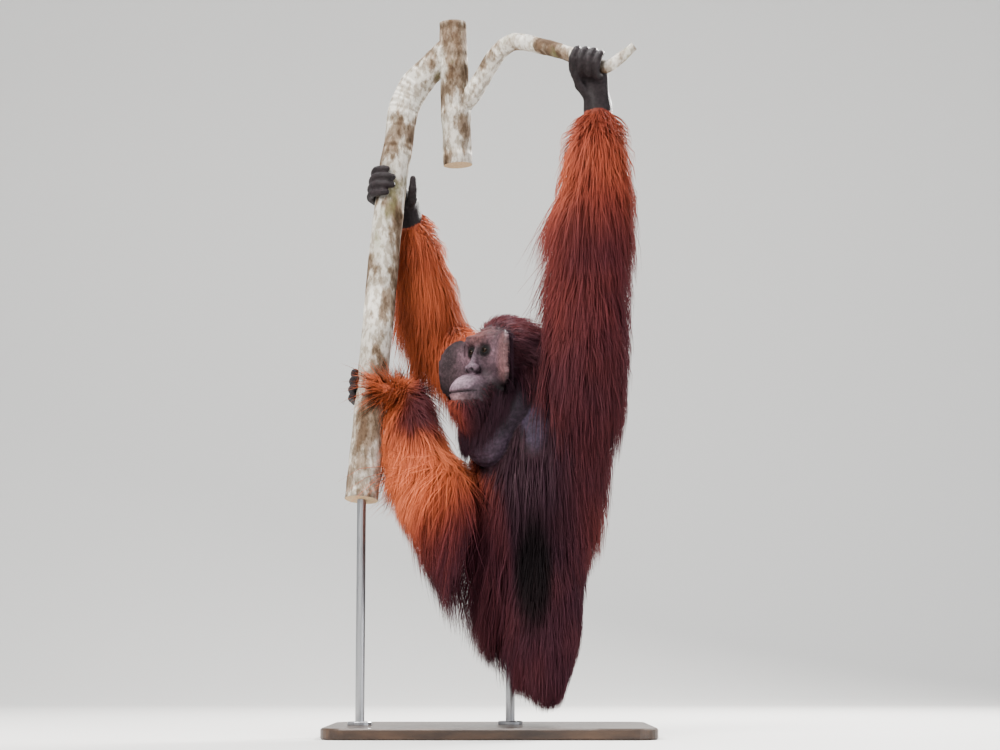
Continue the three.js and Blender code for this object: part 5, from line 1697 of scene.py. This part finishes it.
@dataclass
class Bough:
    """The cut lengths of tree that the animal holds."""

    def tube(self, name: str, path: list[Array], radii: tuple[float, ...], bark: bpy.types.Material,
             sawn: bpy.types.Material, sides: int = 48) -> bpy.types.Object:
        """Returns one length of wood with uneven bark and flat sawn ends.

        Args:
            name: Name of the piece.
            path: Points of its middle line.
            radii: Radius at even steps along it, in millimetres.
            bark: Material of its side.
            sawn: Material of its ends.
            sides: Number of sides.

        Returns:
            The piece.
        """
        line = self.line(path, 12)
        rows = len(line)
        bm = bmesh.new()
        along = unit(np.gradient(line, axis=0))
        ring = bmesh.ops.create_circle(bm, segments=sides, radius=1.0, cap_ends=True)["verts"]
        frame = self.frame(line[0], along[0], self.radius(radii, 0))
        bmesh.ops.transform(bm, matrix=frame, verts=ring)
        face = next(iter(bm.faces))
        for k in range(1, rows):
            out = bmesh.ops.extrude_face_region(bm, geom=[face])
            verts = [g for g in out["geom"] if isinstance(g, bmesh.types.BMVert)]
            face = next(g for g in out["geom"] if isinstance(g, bmesh.types.BMFace))
            before = self.frame(line[k - 1], along[k - 1], self.radius(radii, (k - 1) / (rows - 1)))
            after = self.frame(line[k], along[k], self.radius(radii, k / (rows - 1)))
            bmesh.ops.transform(bm, matrix=after @ before.inverted(), verts=verts)
        bmesh.ops.recalc_face_normals(bm, faces=bm.faces)
        mesh = baked(bm, name)
        co = places(mesh)
        t = np.argmin(np.linalg.norm(co[:, None] - line[None], axis=2), axis=1)
        out = unit(co - line[t] - along[t] * ((co - line[t]) * along[t]).sum(1, keepdims=True))
        uneven = 0.0022 * noise(co, 0.045, 2) + 0.0011 * noise(co, 0.016, 4) + 0.0006 * noise(co, 0.006, 6)
        set_places(mesh, co + out * uneven[:, None])
        mesh.materials.append(bark)
        mesh.materials.append(sawn)
        ends = [len(f.vertices) > 4 for f in mesh.polygons]
        mesh.polygons.foreach_set("material_index", np.array(ends, np.int32))
        mesh.polygons.foreach_set("use_smooth", ~np.array(ends))
        piece = link(name, mesh)
        return piece

    def line(self, path: list[Array], each: int) -> Array:
        """Returns a smooth line through path, with each points between its points."""
        p = np.array([2 * path[0] - path[1], *path, 2 * path[-1] - path[-2]])
        rows = []
        for i in range(1, len(p) - 2):
            t = np.linspace(0, 1, each, endpoint=False)[:, None]
            a, b, c, d = p[i - 1], p[i], p[i + 1], p[i + 2]
            bend, twist = 2 * a - 5 * b + 4 * c - d, 3 * b - a - 3 * c + d
            rows.append(0.5 * (2 * b + (c - a) * t + bend * t**2 + twist * t**3))
        return np.vstack([*rows, path[-1][None]])

    def radius(self, radii: tuple[float, ...], t: float) -> float:
        """Returns the radius at t from 0 to 1, in metres."""
        return float(np.interp(t, np.linspace(0, 1, len(radii)), radii)) / 1000.0

    def frame(self, centre: Array, way: Array, radius: float) -> Matrix:
        """Returns the placing of a ring of that radius, square to way."""
        aside = np.array([1.0, 0.2, 0.0])
        across = unit(aside - way * (way @ aside))
        third = np.cross(way, across)
        turn = Matrix([[*across], [*third], [*way]]).transposed().to_4x4()
        return Matrix.Translation(centre) @ turn @ Matrix.Diagonal((radius, radius, radius, 1))

    def build(self) -> dict[str, bpy.types.Object]:
        """Returns the three lengths by the name of the node that each stands for."""
        bark, sawn = BarkFinish().material(), SawnFinish().material()
        return {
            "perch_trunk": self.tube("bough_trunk", TRUNK_PATH, TRUNK_RADII, bark, sawn),
            "perch_fork": self.tube("bough_fork", FORK_PATH, FORK_RADII, bark, sawn),
            "perch_branch": self.tube("bough_branch", BRANCH_PATH, BRANCH_RADII, bark, sawn, 40),
        }


@dataclass
class Studio:
    """Floor, backdrop, lamps and the camera at the photograph's angle."""

    eye: Triple = (0.0278, -5.9487, 0.2068)
    pitch: float = 7.5
    lens: float = 77.76
    bends: int = 12

    def floor(self) -> None:
        """Lays the floor, which curves up behind into a backdrop."""
        bm = bmesh.new()
        bmesh.ops.create_grid(bm, x_segments=1, y_segments=1, size=1.0)
        size = Matrix.Translation((0, -3.0, 0)) @ Matrix.Diagonal((14, 7, 1, 1))
        bmesh.ops.transform(bm, matrix=size, verts=bm.verts)
        back = [e for e in bm.edges if all(v.co.y > 3.9 for v in e.verts)]
        for k in range(self.bends + 2):
            out = bmesh.ops.extrude_edge_only(bm, edges=back)
            verts = [g for g in out["geom"] if isinstance(g, bmesh.types.BMVert)]
            edges = [g for g in out["geom"] if isinstance(g, bmesh.types.BMEdge)]
            back = [e for e in edges if all(v in verts for v in e.verts)]
            a = math.radians(90) * (k + 0.5) / self.bends
            step = (0, 0.42 * math.cos(a), 0.42 * math.sin(a)) if k < self.bends else (0, 0, 4.5)
            bmesh.ops.translate(bm, verts=verts, vec=step)
        mesh = baked(bm, "floor")
        smooth_faces(mesh)
        link("floor", mesh, FloorFinish().material())

    def lamp(self, name: str, place: Triple, aim: Triple, power: float,
             size: float, colour: Triple = (1, 1, 1)) -> None:
        """Hangs one soft square lamp.

        Args:
            name: Name of the lamp.
            place: Where it hangs.
            aim: What it points at.
            power: Watts.
            size: Side of the square.
            colour: Colour of its light.
        """
        data = bpy.data.lights.new(name, "AREA")
        data.energy, data.size, data.color = power, size, colour
        lamp = bpy.data.objects.new(name, data)
        lamp.location = place
        lamp.rotation_euler = (Vector(aim) - Vector(place)).to_track_quat("-Z", "Y").to_euler()
        bpy.context.scene.collection.objects.link(lamp)

    def build(self) -> None:
        """Sets up the studio."""
        self.floor()
        self.lamp("key", (-2.6, -3.4, 4.0), (0.05, 0, 1.0), 400, 3.0, (1.0, 0.97, 0.93))
        self.lamp("fill", (3.6, -3.2, 1.8), (0.1, 0, 0.9), 130, 2.4, (0.93, 0.96, 1.0))
        self.lamp("rim", (1.8, 2.6, 3.2), (0.1, 0, 1.1), 300, 1.2, (1.0, 0.98, 0.95))
        self.lamp("top", (-0.4, 0.2, 4.6), (0, 0, 1.0), 160, 2.2)
        world = bpy.data.worlds.new("studio")
        world.use_nodes = True
        sky = world.node_tree.nodes["Background"].inputs
        sky["Color"].default_value = (0.80, 0.83, 0.87, 1)
        sky["Strength"].default_value = 0.70
        scene = bpy.context.scene
        scene.world = world
        data = bpy.data.cameras.new("camera")
        data.lens, data.sensor_width, data.sensor_fit = self.lens, 36.0, "HORIZONTAL"
        camera = bpy.data.objects.new("camera", data)
        camera.location = self.eye
        camera.rotation_euler = (math.radians(90 + self.pitch), 0, 0)
        scene.collection.objects.link(camera)
        scene.camera = camera
        scene.view_settings.view_transform = "AgX"
        scene.view_settings.look = "AgX - Medium High Contrast"


# The CAD nodes that the one skin stands for.
FLESH = (
    "head", "ear_left", "ear_right", "cheek_flange_left", "cheek_flange_right", "throat_sac", "neck", "torso",
    "upper_arm_left", "forearm_left", "hand_left", "upper_arm_right", "forearm_right", "hand_right",
    "thigh_right", "shin_right", "foot_right", "thigh_left", "shin_left", "foot_left",
)


def main() -> None:
    """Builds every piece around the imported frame."""
    logging.basicConfig(level=logging.INFO, format="%(message)s")
    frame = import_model()
    anatomy = Anatomy()
    skin = Skin(anatomy).build(SkinFinish())
    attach(skin, BODY)
    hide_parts(*FLESH)
    LOG.info("skin: %d faces", len(skin.data.polygons))
    for side, node in ((1, "eye_left"), (-1, "eye_right")):
        eye = Eyes().build(side, EyeFinish())
        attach(eye, BODY)
        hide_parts(node)
        LOG.info("%s", eye.name)
    coat = Coat(anatomy, Grid(anatomy), skin.data, 1.0)
    for piece in coat.build(HairFinish().material()):
        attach(piece, BODY)
    for node, piece in Bough().build().items():
        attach(piece, BODY)
        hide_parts(node)
        LOG.info("%s", piece.name)
    wood, steel = WoodFinish().material(), SteelFinish().material()
    for node, material in (("stand_base", wood), ("stand_rod_body", steel), ("stand_rod_perch", steel)):
        mesh = frame["nodes"][node].data
        mesh.materials.clear()
        mesh.materials.append(material)
    Studio().build()


if __name__ == "__main__":
    main()
